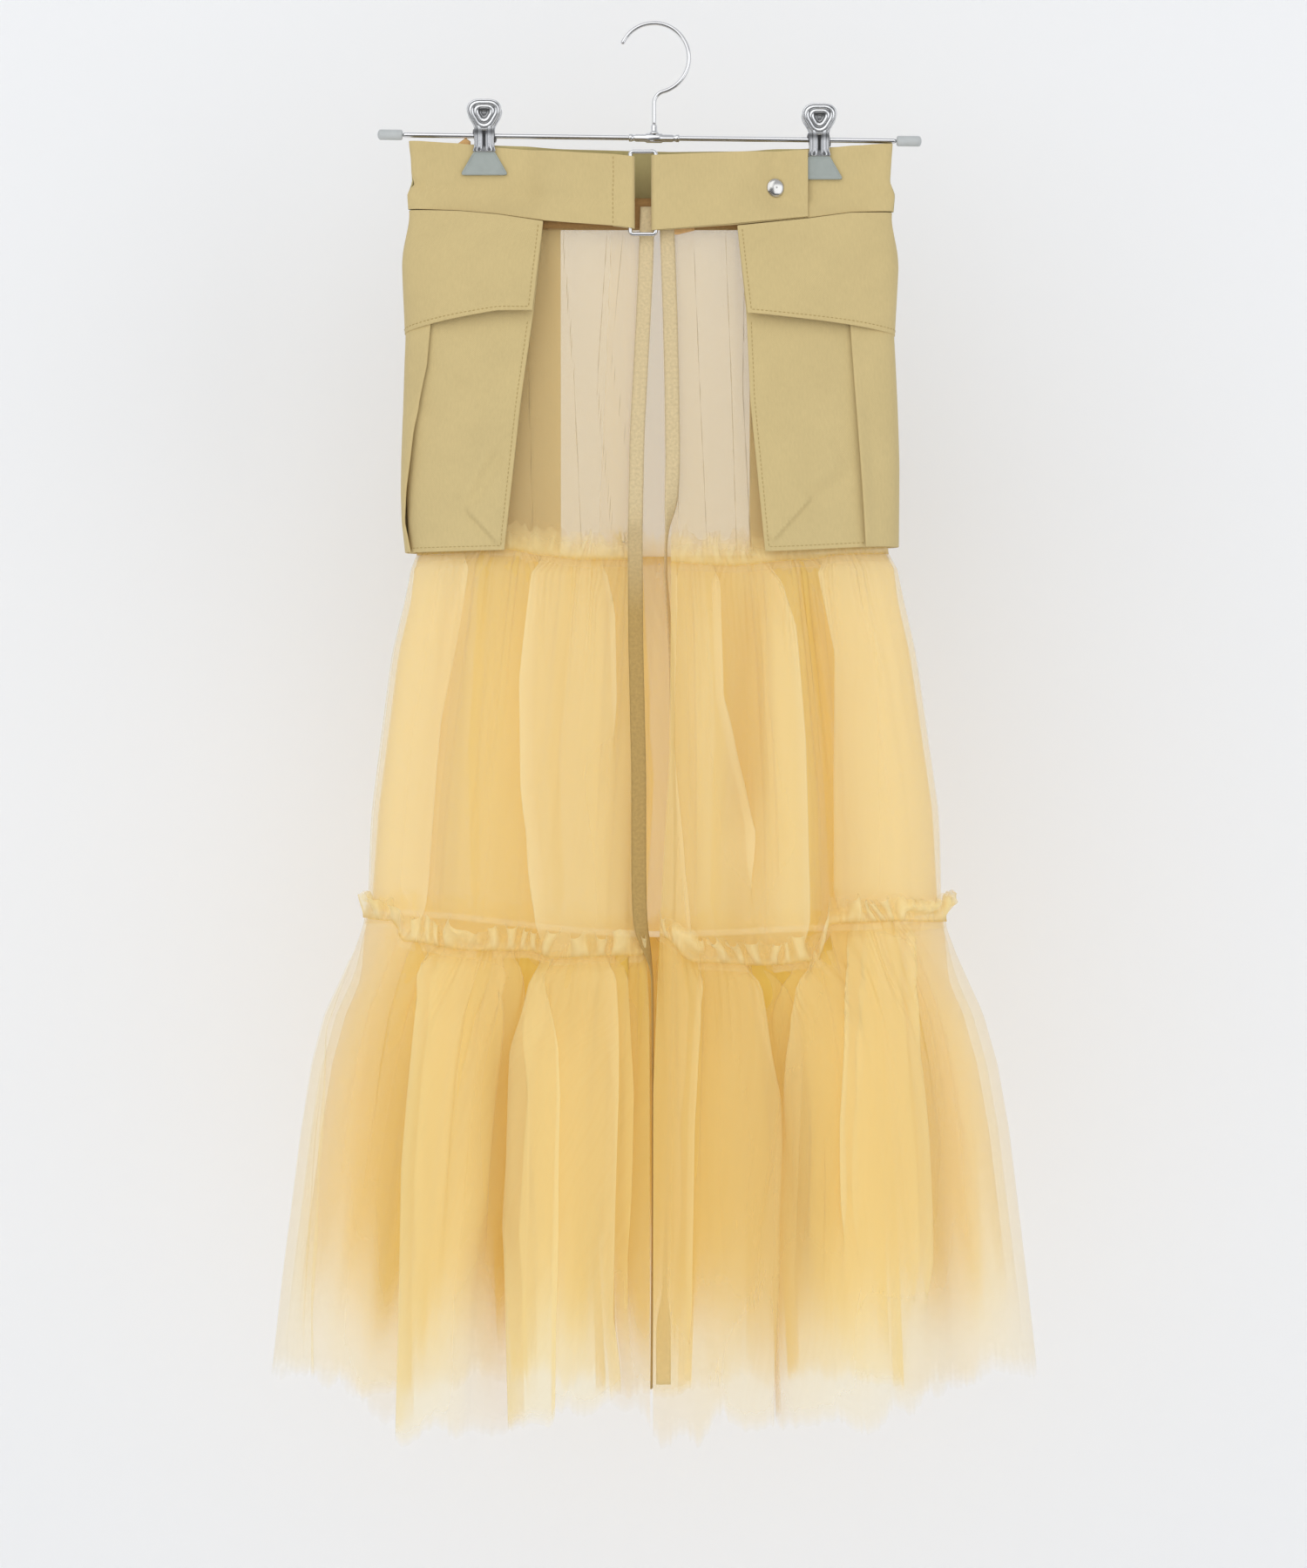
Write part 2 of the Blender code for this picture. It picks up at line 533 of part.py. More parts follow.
def build_skirt():
    step = TULLE + LAYER_GAP
    under_top = -TUCK - 2 * SEAM_GAP
    waist = moved(fixed(INNER_BOTTOM), -SEAM_GAP)
    yoke_lines = [waist, line_between(waist, upper_seam, 0.5), moved(upper_seam, HEADING_HEIGHT),
                  upper_seam, moved(upper_seam, -TUCK)]
    middle_lines = [upper_seam, moved(upper_seam, under_top), moved(upper_seam, -0.040),
                    line_between(upper_seam, lower_seam, 0.40),
                    line_between(upper_seam, lower_seam, 0.70),
                    moved(lower_seam, HEADING_HEIGHT), lower_seam, moved(lower_seam, -TUCK)]
    bottom_lines = [lower_seam, moved(lower_seam, under_top), moved(lower_seam, -0.035),
                    line_between(lower_seam, hem, 0.30), line_between(lower_seam, hem, 0.52),
                    moved(hem, UNDER_HEM_RISE), hem]

    def inside(seam):
        return lambda g, z: -UNDER_LIFT - UNDER_SPACE * smooth_step((seam(g) + under_top - z) / 0.035)

    for part in SKIRT_PARTS:
        tulle("yoke", part, yoke_lines, lambda g, z: 0 * z, kind="sheer")
        tulle("middle_tier", part, middle_lines,
              lambda g, z: step * smooth_step((z - lower_seam(g) - HEADING_HEIGHT) / 0.05))
        tulle("middle_under", part, middle_lines[1:6], inside(upper_seam))
        tulle("bottom_tier", part, bottom_lines, lambda g, z: step + 0 * z)
        tulle("bottom_under", part, bottom_lines[1:6], inside(lower_seam))
        heading("middle_heading", part, upper_seam, step, free_all_round=False)
        heading("bottom_heading", part, lower_seam, step, free_all_round=True)


def build_inner_band():
    """The inner waistband is a closed ring, its last column joined to its first."""
    quarter = np.linspace(0.0, 1.0, 9)
    quarter = quarter + CROWDING * (np.sin(quarter * math.pi / 2) - quarter)
    around = np.concatenate([quarter, 2.0 - quarter[-2::-1]])
    around = np.concatenate([around, 4.0 - around[-2::-1]])
    girth = np.stack([around, around])
    z = np.stack([INNER_TOP + 0 * around, INNER_BOTTOM + 0 * around])
    grid = on_tube(SKIRT, girth, z, 0.0)
    squeeze = pinch(grid[..., 0], z)
    grid[..., 1] *= 1.0 - squeeze * INNER_SQUEEZE
    band = wall("inner_waistband", grid, TAPE, "tape")
    weld = band.modifiers.new("join the ends", "WELD")
    weld.merge_threshold = 0.00005
    band.modifiers.move(1, 0)


def strip(name, rows, width, thickness, kind):
    """A ribbon down its rows of middle points, turned about the vertical."""
    grid = np.zeros((len(rows), 3, 3))
    for index, row in enumerate(rows):
        turn = math.radians(row.turn)
        sideways = np.array([math.cos(turn), math.sin(turn), 0.0]) * width / 2
        middle = np.array([row.x, row.y, row.z])
        grid[index] = [middle + share * sideways for share in (-1.0, 0.0, 1.0)]
    return wall(name, grid, thickness, kind)


def build_ribbons():
    strip("ribbon_left", LEFT_RIBBON, RIBBON_WIDTH, RIBBON, "ribbon")
    strip("ribbon_right", RIGHT_RIBBON, RIBBON_WIDTH, RIBBON, "ribbon")
    strip("hanging_tape_left", LOOP_TAPE, LOOP_WIDTH, RIBBON, "tape")
    strip("hanging_tape_front", LOW_TAPE, LOW_TAPE_WIDTH, RIBBON, "tape")


# ---- belt
def pinch(x, z):
    """1 under a clip, fading to 0 around it and down the band."""
    beside = np.minimum(*[np.abs(x - place) for place in CLIP_X.values()])
    beside = np.maximum(beside - PINCH_HALF, 0.0) / PINCH_WIDTH
    return np.exp(-(beside**2)) * smooth_step((z - PINCH_FLOOR) / (PINCH_TOP - PINCH_FLOOR))


def band_point(girth, z):
    """A point of the waistband's middle, pinched by the clips."""
    x, y, _ = on_tube(BELT, np.array(girth), np.array(z), 0.0)
    squeeze = pinch(x, z)
    depth = abs(y) + (BAND_PINCH - abs(y)) * min(squeeze, 1.0)
    return np.array([x, math.copysign(depth, y), z])


def band_edges(edges, x):
    places = [edge.x for edge in edges]
    top = np.interp(x, places, [edge.top for edge in edges])
    bottom = np.interp(x, places, [edge.bottom for edge in edges])
    return top, bottom


def band(name, edges, plan, rows=4):
    """A band through the plan's columns: each is a function that gives a point at a height.
    Returns its grid of middle points."""
    grid = np.zeros((rows, len(plan), 3))
    for column, (x_place, point) in enumerate(plan):
        top, bottom = band_edges(edges, x_place)
        for row, share in enumerate(np.linspace(0.0, 1.0, rows)):
            z = top + (bottom - top) * share
            grid[row, column] = point(z)
    wall(name, grid, TWILL, "twill")
    return grid


def plan_column(x, y):
    return x, lambda z: np.array([x, y, z])


def turn_columns(bar_x, start, end, count=TURN_COLUMNS):
    """Columns round a bar of the ring, by angle from the front."""
    columns = []
    for angle in np.radians(np.linspace(start, end, count)):
        x = bar_x + TURN * math.sin(angle)
        y = -BUCKLE_DEPTH - TURN * math.cos(angle)
        columns.append((x, y))
    return columns


def blend_to(girths, x_end, y_end, reach):
    """Columns along the tube that come forward or back to meet the end (x_end, y_end)."""
    columns = []
    for girth in girths:
        place = band_point(girth, -0.10)
        near = smooth_step(1.0 - abs(x_end - place[0]) / reach) if reach else 0.0

        def point(z, girth=girth, near=near):
            middle = band_point(girth, z)
            middle[1] += (y_end - middle[1]) * near
            return middle
        columns.append((place[0], point))
    return columns


def crowded(start, end, count):
    """Girths from a place near the front to a side, closer together at the side."""
    share = np.linspace(0.0, 1.0, count)
    return start + (end - start) * (share + CROWDING * (np.sin(share * math.pi / 2) - share))


def strap_y(x, z):
    """The strap end's middle: over the right waistband, and over the clip's pad at its end."""
    loose = smooth_step((STRAP_SETTLES - x) / (STRAP_SETTLES - BUCKLE_BARS[1]))
    girth = girth_at(BELT, z, np.maximum(x, 0.0))
    under = band_point(girth, z)[1]
    behind = -BUCKLE_DEPTH + TURN
    near = smooth_step(1.0 - abs(BUCKLE_BARS[1] - x) / BAND_BLEND)
    under += (behind - under) * near
    lying = under - TWILL - LAYER_GAP - STRAP_SLACK
    over_pad = -(PAD_INNER + PAD + SEAM_GAP + TWILL / 2 + STRAP_SLACK)
    beside_pad = np.clip((CLIP_X["right"] - PAD_BOTTOM_HALF - x) / 0.010, 0.0, 1.0)
    lying = min(lying, over_pad * (1.0 - beside_pad) + lying * beside_pad)
    return lying + (-BUCKLE_DEPTH - TURN - lying) * loose


def build_bands():
    """Returns the grid of the strap end, which the snap sits on."""
    front = -BUCKLE_DEPTH - TURN
    behind = -BUCKLE_DEPTH + TURN
    edge = 1.0 - side_gap(BELT, BACK_BAND[0].top)
    # left: along the front, round the ring's left bar and back to the stitch line
    girths = -crowded(0.13, edge, 14)[::-1]
    plan = blend_to(girths, BUCKLE_BARS[0], front, BAND_BLEND)
    plan += [plan_column(x, y) for x, y in turn_columns(BUCKLE_BARS[0], 0.0, 180.0)]
    plan += [plan_column(LEFT_RETURN, behind)]
    band("waistband_left", LEFT_BAND, plan)
    # right: from the side along the front to behind the ring's right bar
    girths = crowded(0.028, edge, 15)
    plan = [plan_column(BUCKLE_BARS[1] + 0.0006, behind)]
    plan += blend_to(girths, BUCKLE_BARS[1], behind, BAND_BLEND)
    band("waistband_right", RIGHT_BAND, plan)
    # the same strap comes round the bar and lies over the band and the clip's pad
    plan = [plan_column(x, y) for x, y in turn_columns(BUCKLE_BARS[1], -180.0, 0.0)]
    for girth in girths:
        x = float(band_point(girth, -0.10)[0])
        if 0.008 < x < TAB_END - 0.003:
            plan += [(x, lambda z, x=x: np.array([x, strap_y(x, z), z]))]
    plan += [(TAB_END, lambda z: np.array([TAB_END, strap_y(TAB_END, z), z]))]
    strap = band("strap_end", TAB_BAND, plan)
    # back, both halves crowded towards the sides
    half = crowded(2.0, 2.0 - edge, 13)
    girths = np.concatenate([half[::-1], 4.0 - half[1:]])
    band("waistband_back", BACK_BAND, blend_to(girths, 0.0, 0.0, 0.0))
    return strap


def build_buckle():
    """The wire ring: a closed rounded rectangle."""
    left, right = BUCKLE_BARS
    corner = 0.0022
    points = []
    centres = [(right - corner, BUCKLE_TOP - corner, 90), (right - corner, BUCKLE_BOTTOM + corner, 0),
               (left + corner, BUCKLE_BOTTOM + corner, -90), (left + corner, BUCKLE_TOP - corner, 180)]
    for x, z, first in centres:
        for angle in np.radians(np.linspace(first, first - 90, 4)):
            points.append((x + corner * math.cos(angle), -BUCKLE_DEPTH, z + corner * math.sin(angle)))
    wire("ring_buckle", points, WIRE, "chrome", closed=True)


def grid_point(grid, x, z):
    """The place on an upright grid at x and z; its columns run along x, its rows down."""
    heights = [np.interp(x, row[:, 0], row[:, 2]) for row in grid[::-1]]
    depths = [np.interp(x, row[:, 0], row[:, 1]) for row in grid[::-1]]
    return Vector((x, np.interp(z, heights, depths), z))


def build_snap(strap):
    """A shallow dome on the strap end, square to it there."""
    profile = [(0.0, 0.0022), (0.0028, 0.0020), (0.0050, 0.0013), (SNAP_RADIUS, 0.0004),
               (SNAP_RADIUS, 0.0), (0.0, 0.0)]
    cap = turned("snap_cap", profile, "chrome", steps=20)
    flat = strap[:, TURN_COLUMNS:]
    places = [grid_point(flat, SNAP_X + x * SNAP_RADIUS, SNAP_Z + z * SNAP_RADIUS)
              for x, z in ((-1.0, 0.0), (1.0, 0.0), (0.0, -1.0), (0.0, 1.0))]
    facing = (places[1] - places[0]).cross(places[3] - places[2]).normalized()
    middle = sum(places, Vector()) / len(places)
    seat = middle + facing * (TWILL / 2 + SNAP_LIFT)
    cap.matrix_world = Matrix.Translation(seat) @ facing.to_track_quat("Z", "Y").to_matrix().to_4x4()


def panel_edge(side, column, back=False):
    def girth(z):
        rows = sorted(PANELS[side], key=lambda row: row.z)
        x = np.interp(z, [row.z for row in rows], [getattr(row, column) for row in rows])
        return girth_at(BELT, z, x, back)
    return girth


def under_band(side):
    """The height just under the waistband, by girth."""
    def z(girth):
        places = on_tube(BELT, girth, -0.13 + 0 * girth, 0.0)
        turn = np.abs((girth + 2.0) % 4.0 - 2.0)
        front = band_edges(LEFT_BAND if side == "left" else RIGHT_BAND, places[..., 0])[1]
        back = band_edges(BACK_BAND, places[..., 0])[1]
        return np.where(turn < 1.0, front, back) - PANEL_GAP
    return z


def sagging(side, heights):
    """An edge that is lowest or highest at the side, from its heights at the front and side."""
    edge, middle = heights

    def z(girth):
        turn = np.abs((girth + 2.0) % 4.0 - 2.0)
        share = smooth_step((np.abs(turn - 1.0)) / 0.6)
        return middle + (edge - middle) * share
    return z


def build_pockets():
    lay = TWILL + LAYER_GAP
    for side in SIDES:
        front, back = panel_edge(side, "front"), panel_edge(side, "back", back=True)
        pleat = (panel_edge(side, "pleat_front"), panel_edge(side, "pleat_back", back=True))
        whole = (front, *pleat, back)
        top, pocket_top = under_band(side), fixed(POCKET_TOP)
        flap_end, bottom = sagging(side, FLAP_BOTTOM[side]), sagging(side, PANEL_BOTTOM[side])
        lines = [top, line_between(top, pocket_top, 0.5), pocket_top, flap_end,
                 line_between(flap_end, bottom, 0.35), line_between(flap_end, bottom, 0.70), bottom]

        def tucked(girth, z, top=top):
            return -PANEL_TUCK * (1.0 - smooth_step((top(girth) - z) / TUCK_REACH))

        def bag(girth, z, front=front, back=back, side=side):
            across = np.clip((girth - front(z)) / (back(z) - front(z)), 0.0, 1.0)
            down = np.clip((POCKET_TOP - z) / (POCKET_TOP - PANEL_BOTTOM[side][1]), 0.0, 1.0)
            return lay + BAG_PUFF * np.sqrt(np.sin(math.pi * across)) * np.sin(math.pi * down)

        def over(girth, z, top=top):
            share = smooth_step((top(girth) - z) / (TUCK_REACH + 0.01))
            return tucked(girth, z, top) + lay + FLAP_LIFT + share * (2 * lay + FLAP_LIFT + BAG_PUFF)

        layers = [("base_panel", lines, whole, (4, 6, 4), tucked),
                  ("pocket_bag", lines[2:], whole, (4, 6, 4), bag),
                  ("box_pleat", lines[2:], pleat, (6,), lambda g, z: bag(g, z) + lay + FLAP_LIFT),
                  ("flap", lines[:4], whole, (4, 6, 4), over)]
        for name, rows, edges, counts, out in layers:
            girth, z = patch(rows, edges, counts)
            wall(name + "_" + side, on_tube(BELT, girth, z, out(girth, z)), TWILL, "twill")


# ---- hanger
def wire(name, points, radius, kind, closed=False):
    curve = bpy.data.curves.new(name, "CURVE")
    curve.dimensions = "3D"
    curve.bevel_depth = radius
    curve.bevel_resolution = 2
    curve.resolution_u = 1
    curve.render_resolution_u = 0
    curve.use_fill_caps = True
    line = curve.splines.new("POLY")
    line.points.add(len(points) - 1)
    for point, place in zip(line.points, points):
        point.co = (*place, 1.0)
    line.use_cyclic_u = closed
    line.use_smooth = True
    return add_object(name, curve, kind)


def turned(name, profile, kind, steps=16):
    """A profile of radius and height, top to bottom, turned about Z."""
    builder = bmesh.new()
    corners = [builder.verts.new((radius, 0.0, height)) for radius, height in profile]
    for first, second in zip(corners, corners[1:]):
        builder.edges.new((first, second))
    if profile[0][0] > 0:  # a ring's profile closes on itself
        builder.edges.new((corners[-1], corners[0]))
    thing = mesh_object(name, builder, kind)
    screw = thing.modifiers.new("turn", "SCREW")
    screw.steps = steps
    screw.render_steps = steps
    screw.use_merge_vertices = True
    screw.merge_threshold = 0.00002
    screw.use_smooth_shade = True
    return thing


def rod_height(x):
    return ROD_Z - ROD_TILT * (x - STEM_X)


def along_rod(x):
    """Stands a turned piece's axis along the rod, its origin at x."""
    turn = Matrix.Rotation(math.pi / 2 + ROD_TILT, 4, "Y")
    return Matrix.Translation((x, 0.0, rod_height(x))) @ turn


def flat_plate(name, outlines, thickness, kind):
    """A flat piece from outlines in x and z, the first its edge and the others its holes."""
    curve = bpy.data.curves.new(name, "CURVE")
    curve.dimensions = "2D"
    curve.fill_mode = "BOTH"
    curve.extrude = thickness / 2
    curve.render_resolution_u = 0
    for outline in outlines:
        line = curve.splines.new("POLY")
        line.points.add(len(outline) - 1)
        for point, (x, z) in zip(line.points, outline):
            point.co = (x, z, 0.0, 1.0)
        line.use_cyclic_u = True
    return add_object(name, curve, kind)


def rounded(corners, radius, steps=3):
    """A closed outline with each of its corners made a short arc."""
    outline = []
    for index, corner in enumerate(corners):
        here = Vector(corner)
        before = (Vector(corners[index - 1]) - here).normalized()
        after = (Vector(corners[(index + 1) % len(corners)]) - here).normalized()
        half = before.angle(after) / 2
        middle = here + (before + after).normalized() * radius / math.sin(half)
        first = here + before * radius / math.tan(half) - middle
        sweep = first.angle_signed(here + after * radius / math.tan(half) - middle)
        for step in range(steps + 1):
            turn = -sweep * step / steps
            arm = Matrix.Rotation(turn, 2) @ first
            outline.append(tuple(middle + arm))
    return outline


def build_hook():
    centre = Vector((STEM_X, 0.0, HOOK_WIRE - HOOK_RADIUS))
    points = []
    count = round((HOOK_TIP_ANGLE - HOOK_END_ANGLE) / HOOK_STEP) + 1
    for angle in np.radians(np.linspace(HOOK_TIP_ANGLE, HOOK_END_ANGLE, count)):
        points.append(centre + HOOK_RADIUS * Vector((math.cos(angle), 0.0, math.sin(angle))))
    # a bend the other way brings the wire down onto the stem
    end = math.radians(HOOK_END_ANGLE)
    bend = HOOK_RADIUS * math.cos(end) / (1.0 - math.cos(end))
    pivot = centre + (HOOK_RADIUS + bend) * Vector((math.cos(end), 0.0, math.sin(end)))
    for angle in np.linspace(end + math.pi, math.pi, 6)[1:]:
        points.append(pivot + bend * Vector((math.cos(angle), 0.0, math.sin(angle))))
    points.append(Vector((points[-1].x, 0.0, SOCKET_TOP + SEAM_GAP)))
    wire("hook", points, HOOK_WIRE, "chrome")


def build_rod():
    ends = [(x, 0.0, rod_height(x)) for x in (ROD_LEFT, ROD_RIGHT)]
    wire("rod", ends, ROD_RADIUS, "chrome")
    inner = ROD_RADIUS + SEAM_GAP
    sleeve = [(inner, SLEEVE_HALF), (SLEEVE_RADIUS, SLEEVE_HALF), (SLEEVE_RADIUS, -SLEEVE_HALF),
              (inner, -SLEEVE_HALF)]
    turned("cross_sleeve", sleeve, "chrome").matrix_world = along_rod(STEM_X)
    low = ROD_Z + SLEEVE_RADIUS + SEAM_GAP
    socket = [(0.0, SOCKET_TOP), (0.0018, SOCKET_TOP), (0.0022, SOCKET_TOP - 0.0008),
              (0.0022, low + 0.0022), (SOCKET_RADIUS, low + 0.0012), (SOCKET_RADIUS, low), (0.0, low)]
    turned("stem_socket", socket, "chrome").location = (STEM_X, 0.0, 0.0)
    for side, end in (("left", ROD_LEFT - SEAM_GAP), ("right", ROD_RIGHT + SEAM_GAP)):
        flip = 1.0 if side == "left" else -1.0
        cap = [(0.0, 0.0), (CAP_RADIUS - 0.0006, 0.0), (CAP_RADIUS, -0.0006),
               (CAP_RADIUS, -CAP_LENGTH + 0.0024), (CAP_RADIUS - 0.0010, -CAP_LENGTH + 0.0007),
               (CAP_RADIUS - 0.0024, -CAP_LENGTH), (0.0, -CAP_LENGTH)]
        piece = turned("end_cap_" + side, cap, "grey_rubber")
        if flip > 0:
            piece.matrix_world = along_rod(end)
        else:
            piece.matrix_world = along_rod(end) @ Matrix.Rotation(math.pi, 4, "X")


def build_clip(side):
    x = CLIP_X[side]
    pad_top = CLIP_TOP[side] - CLIP_HEIGHT
    height = CLIP_HEIGHT / math.cos(PLATE_LEAN)
    neck_top = height - HANDLE_HEIGHT
    corners = [(-NECK_HALF, PLATE), (NECK_HALF, PLATE), (NECK_HALF, neck_top),
               (HANDLE_HALF, height - 0.0070), (HANDLE_HALF - 0.0020, height),
               (-HANDLE_HALF + 0.0020, height), (-HANDLE_HALF, height - 0.0070),
               (-NECK_HALF, neck_top)]
    hole = [(0.0022, height - 0.0078), (-0.0022, height - 0.0078), (0.0, height - 0.0118)]
    pad = [(-PAD_BOTTOM_HALF, -PAD_HEIGHT), (PAD_BOTTOM_HALF, -PAD_HEIGHT),
           (PAD_TOP_HALF, 0.0), (-PAD_TOP_HALF, 0.0)]
    upright = Matrix.Rotation(math.pi / 2, 4, "X")
    for face, sign in (("front", -1.0), ("back", 1.0)):
        foot = Matrix.Translation((x, sign * (PAD_INNER + PAD / 2), pad_top))
        lean = Matrix.Rotation(-sign * PLATE_LEAN, 4, "X")
        plate = flat_plate("clip_plate_" + face + "_" + side,
                           [rounded(corners, 0.0016), rounded(hole, 0.0005, 2)], PLATE, "chrome")
        plate.matrix_world = foot @ lean @ upright
        piece = flat_plate("clip_pad_" + face + "_" + side, [rounded(pad, 0.0014)], PAD, "vinyl")
        piece.matrix_world = foot @ upright
    inner = ROD_RADIUS + SEAM_GAP
    barrel = [(inner, BARREL_HALF), (BARREL_RADIUS, BARREL_HALF), (BARREL_RADIUS, -BARREL_HALF),
              (inner, -BARREL_HALF)]
    turned("clip_spring_" + side, barrel, "chrome").matrix_world = along_rod(x)


MODEL = clear_scene()
strap_grid = build_bands()
build_buckle()
build_snap(strap_grid)
build_pockets()
build_inner_band()
build_skirt()
build_ribbons()
build_hook()
build_rod()
for clip_side in SIDES:
    build_clip(clip_side)
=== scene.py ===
"""Looks of a three-tier tulle skirt, open in front, under a twill cargo belt on a clip hanger.

The cloth is worked out on two tubes, one for the belt and one for the skirt. A place on a tube is a
height z and a girth: 0 is the centre front, -1 the viewer's left side, 1 the right side, 2 the
centre back and 3 the left side again. `out` is the distance outwards of the tube, in metres.
"""

import logging
import math
from collections.abc import Callable, Sequence
from dataclasses import dataclass, replace
from enum import Enum

import bmesh
import bpy
import numpy as np
from mathutils import Matrix, Vector


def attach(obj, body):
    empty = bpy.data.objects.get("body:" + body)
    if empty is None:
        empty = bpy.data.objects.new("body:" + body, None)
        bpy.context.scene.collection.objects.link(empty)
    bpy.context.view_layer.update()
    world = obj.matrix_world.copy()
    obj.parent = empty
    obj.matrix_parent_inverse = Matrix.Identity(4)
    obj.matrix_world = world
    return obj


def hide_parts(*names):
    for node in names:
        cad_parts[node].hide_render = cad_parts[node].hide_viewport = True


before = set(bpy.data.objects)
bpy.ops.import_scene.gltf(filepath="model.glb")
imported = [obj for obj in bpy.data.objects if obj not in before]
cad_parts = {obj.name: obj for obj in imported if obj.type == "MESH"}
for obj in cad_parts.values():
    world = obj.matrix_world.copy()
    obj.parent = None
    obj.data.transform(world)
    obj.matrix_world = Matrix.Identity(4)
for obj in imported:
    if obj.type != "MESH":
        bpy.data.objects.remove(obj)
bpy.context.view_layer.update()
LOG = logging.getLogger("tulle skirt")

Array = np.ndarray
Line = Callable[[Array], Array]


class Side(Enum):
    """The viewer's two sides."""

    LEFT = "left"
    RIGHT = "right"

    @property
    def sign(self) -> float:
        """-1 on the left and 1 on the right."""
        return -1.0 if self is Side.LEFT else 1.0


class Part(Enum):
    """The three parts that a tier of the skirt is cut in."""

    LEFT = "left"
    BACK = "back"
    RIGHT = "right"


class Held(Enum):
    """How a sheet of cloth is held."""

    HUNG = "hung"
    GATHERED = "gathered"


# ---------------------------------------------------------------- numbers
def smooth_step(share: Array) -> Array:
    """Eases from 0 to 1: 3s^2 - 2s^3 of the share, held between 0 and 1."""
    share = np.clip(share, 0.0, 1.0)
    return share * share * (3.0 - 2.0 * share)


def bell(distance: Array, width: float) -> Array:
    """A soft hump: e to the minus square of distance over width."""
    return np.exp(-((distance / width) ** 2))


def uneven(across: Array, down: Array, seed: int, fine: float = 1.0, tall: float = 1.0) -> Array:
    """A smooth uneven field between about -1 and 1, the same each run.

    It is the mean of seven sine waves, each of a seeded length, slope and start.

    Args:
        across: place across, in any unit.
        down: place down, in any unit.
        seed: which field.
        fine: waves for each unit across.
        tall: waves for each unit down.

    Returns:
        The field at each place.
    """
    draw = np.random.default_rng(seed)
    total = np.zeros(np.broadcast(across, down).shape)
    for _ in range(7):
        along = fine * draw.uniform(0.45, 1.9)
        fall = tall * draw.uniform(-1.3, 1.3)
        start = draw.uniform(0.0, 2.0 * math.pi)
        total += np.sin(2.0 * math.pi * (along * across + fall * down) + start)
    return total / 3.2


def wrapped(girth: Array) -> Array:
    """A girth brought between -2 and 2."""
    return (girth + 2.0) % 4.0 - 2.0


@dataclass(frozen=True)
class Tube:
    """A body of cloth seen from above as a squared ellipse.

    The outline is x = width * sin(a)^(2/corner), y = depth * cos(a)^(2/corner), and girth is the
    share of a quarter of its run, measured once on a tube of depth `flatness` for width 1.
    """

    levels: tuple[tuple[float, float, float, float, float], ...]  # z, left, right, front, back
    corner: float = 2.6
    flatness: float = 0.12

    def outline(self) -> tuple[Array, Array, Array]:
        """The quarter outline: share of the run, and x and y there."""
        angle = np.linspace(0.0, math.pi / 2, 600)
        x = np.sin(angle) ** (2 / self.corner)
        y = np.cos(angle) ** (2 / self.corner)
        run = np.concatenate([[0.0], np.cumsum(np.hypot(np.diff(x), self.flatness * np.diff(y)))])
        return run / run[-1], x, y

    def sizes(self, z: Array) -> list[Array]:
        """Half-widths to the left and right and half-depths to the front and back at heights."""
        rows = np.array(sorted(self.levels))
        return [np.interp(z, rows[:, 0], rows[:, column]) for column in (1, 2, 3, 4)]

    def girth_at(self, z: Array, x: Array, back: bool = False) -> Array:
        """The girth of the place x across the front, or across the back."""
        left, right, _, _ = self.sizes(z)
        run, run_x, _ = self.outline()
        turn = np.interp(np.clip(np.abs(x) / np.where(x < 0, left, right), 0.0, 1.0), run_x, run)
        turn = 2.0 - turn if back else turn
        return np.where(x < 0, -turn, turn)

    def place(self, girth: Array, z: Array, out: Array | float = 0.0) -> Array:
        """Points at girths and heights, moved out along the outline's normal.

        Args:
            girth: place round the tube.
            z: height in metres.
            out: distance outwards in metres.

        Returns:
            Points with x, y, z last.
        """
        around = wrapped(girth)
        left, right, front, back = self.sizes(z)
        run, run_x, run_y = self.outline()
        turn = np.abs(around)
        quarter = np.where(turn < 1.0, turn, 2.0 - turn)
        width = np.where(around < 0, left, right)
        depth = np.where(turn < 1.0, front, back)
        share_x, share_y = np.interp(quarter, run, run_x), np.interp(quarter, run, run_y)
        slope_x = share_x ** (self.corner - 1.0) / width
        slope_y = share_y ** (self.corner - 1.0) / depth
        length = np.hypot(slope_x, slope_y)
        x = np.where(around < 0, -1.0, 1.0) * (width * share_x + out * slope_x / length)
        y = np.where(turn < 1.0, -1.0, 1.0) * (depth * share_y + out * slope_y / length)
        return np.stack([x, y, z + 0.0 * x], axis=-1)


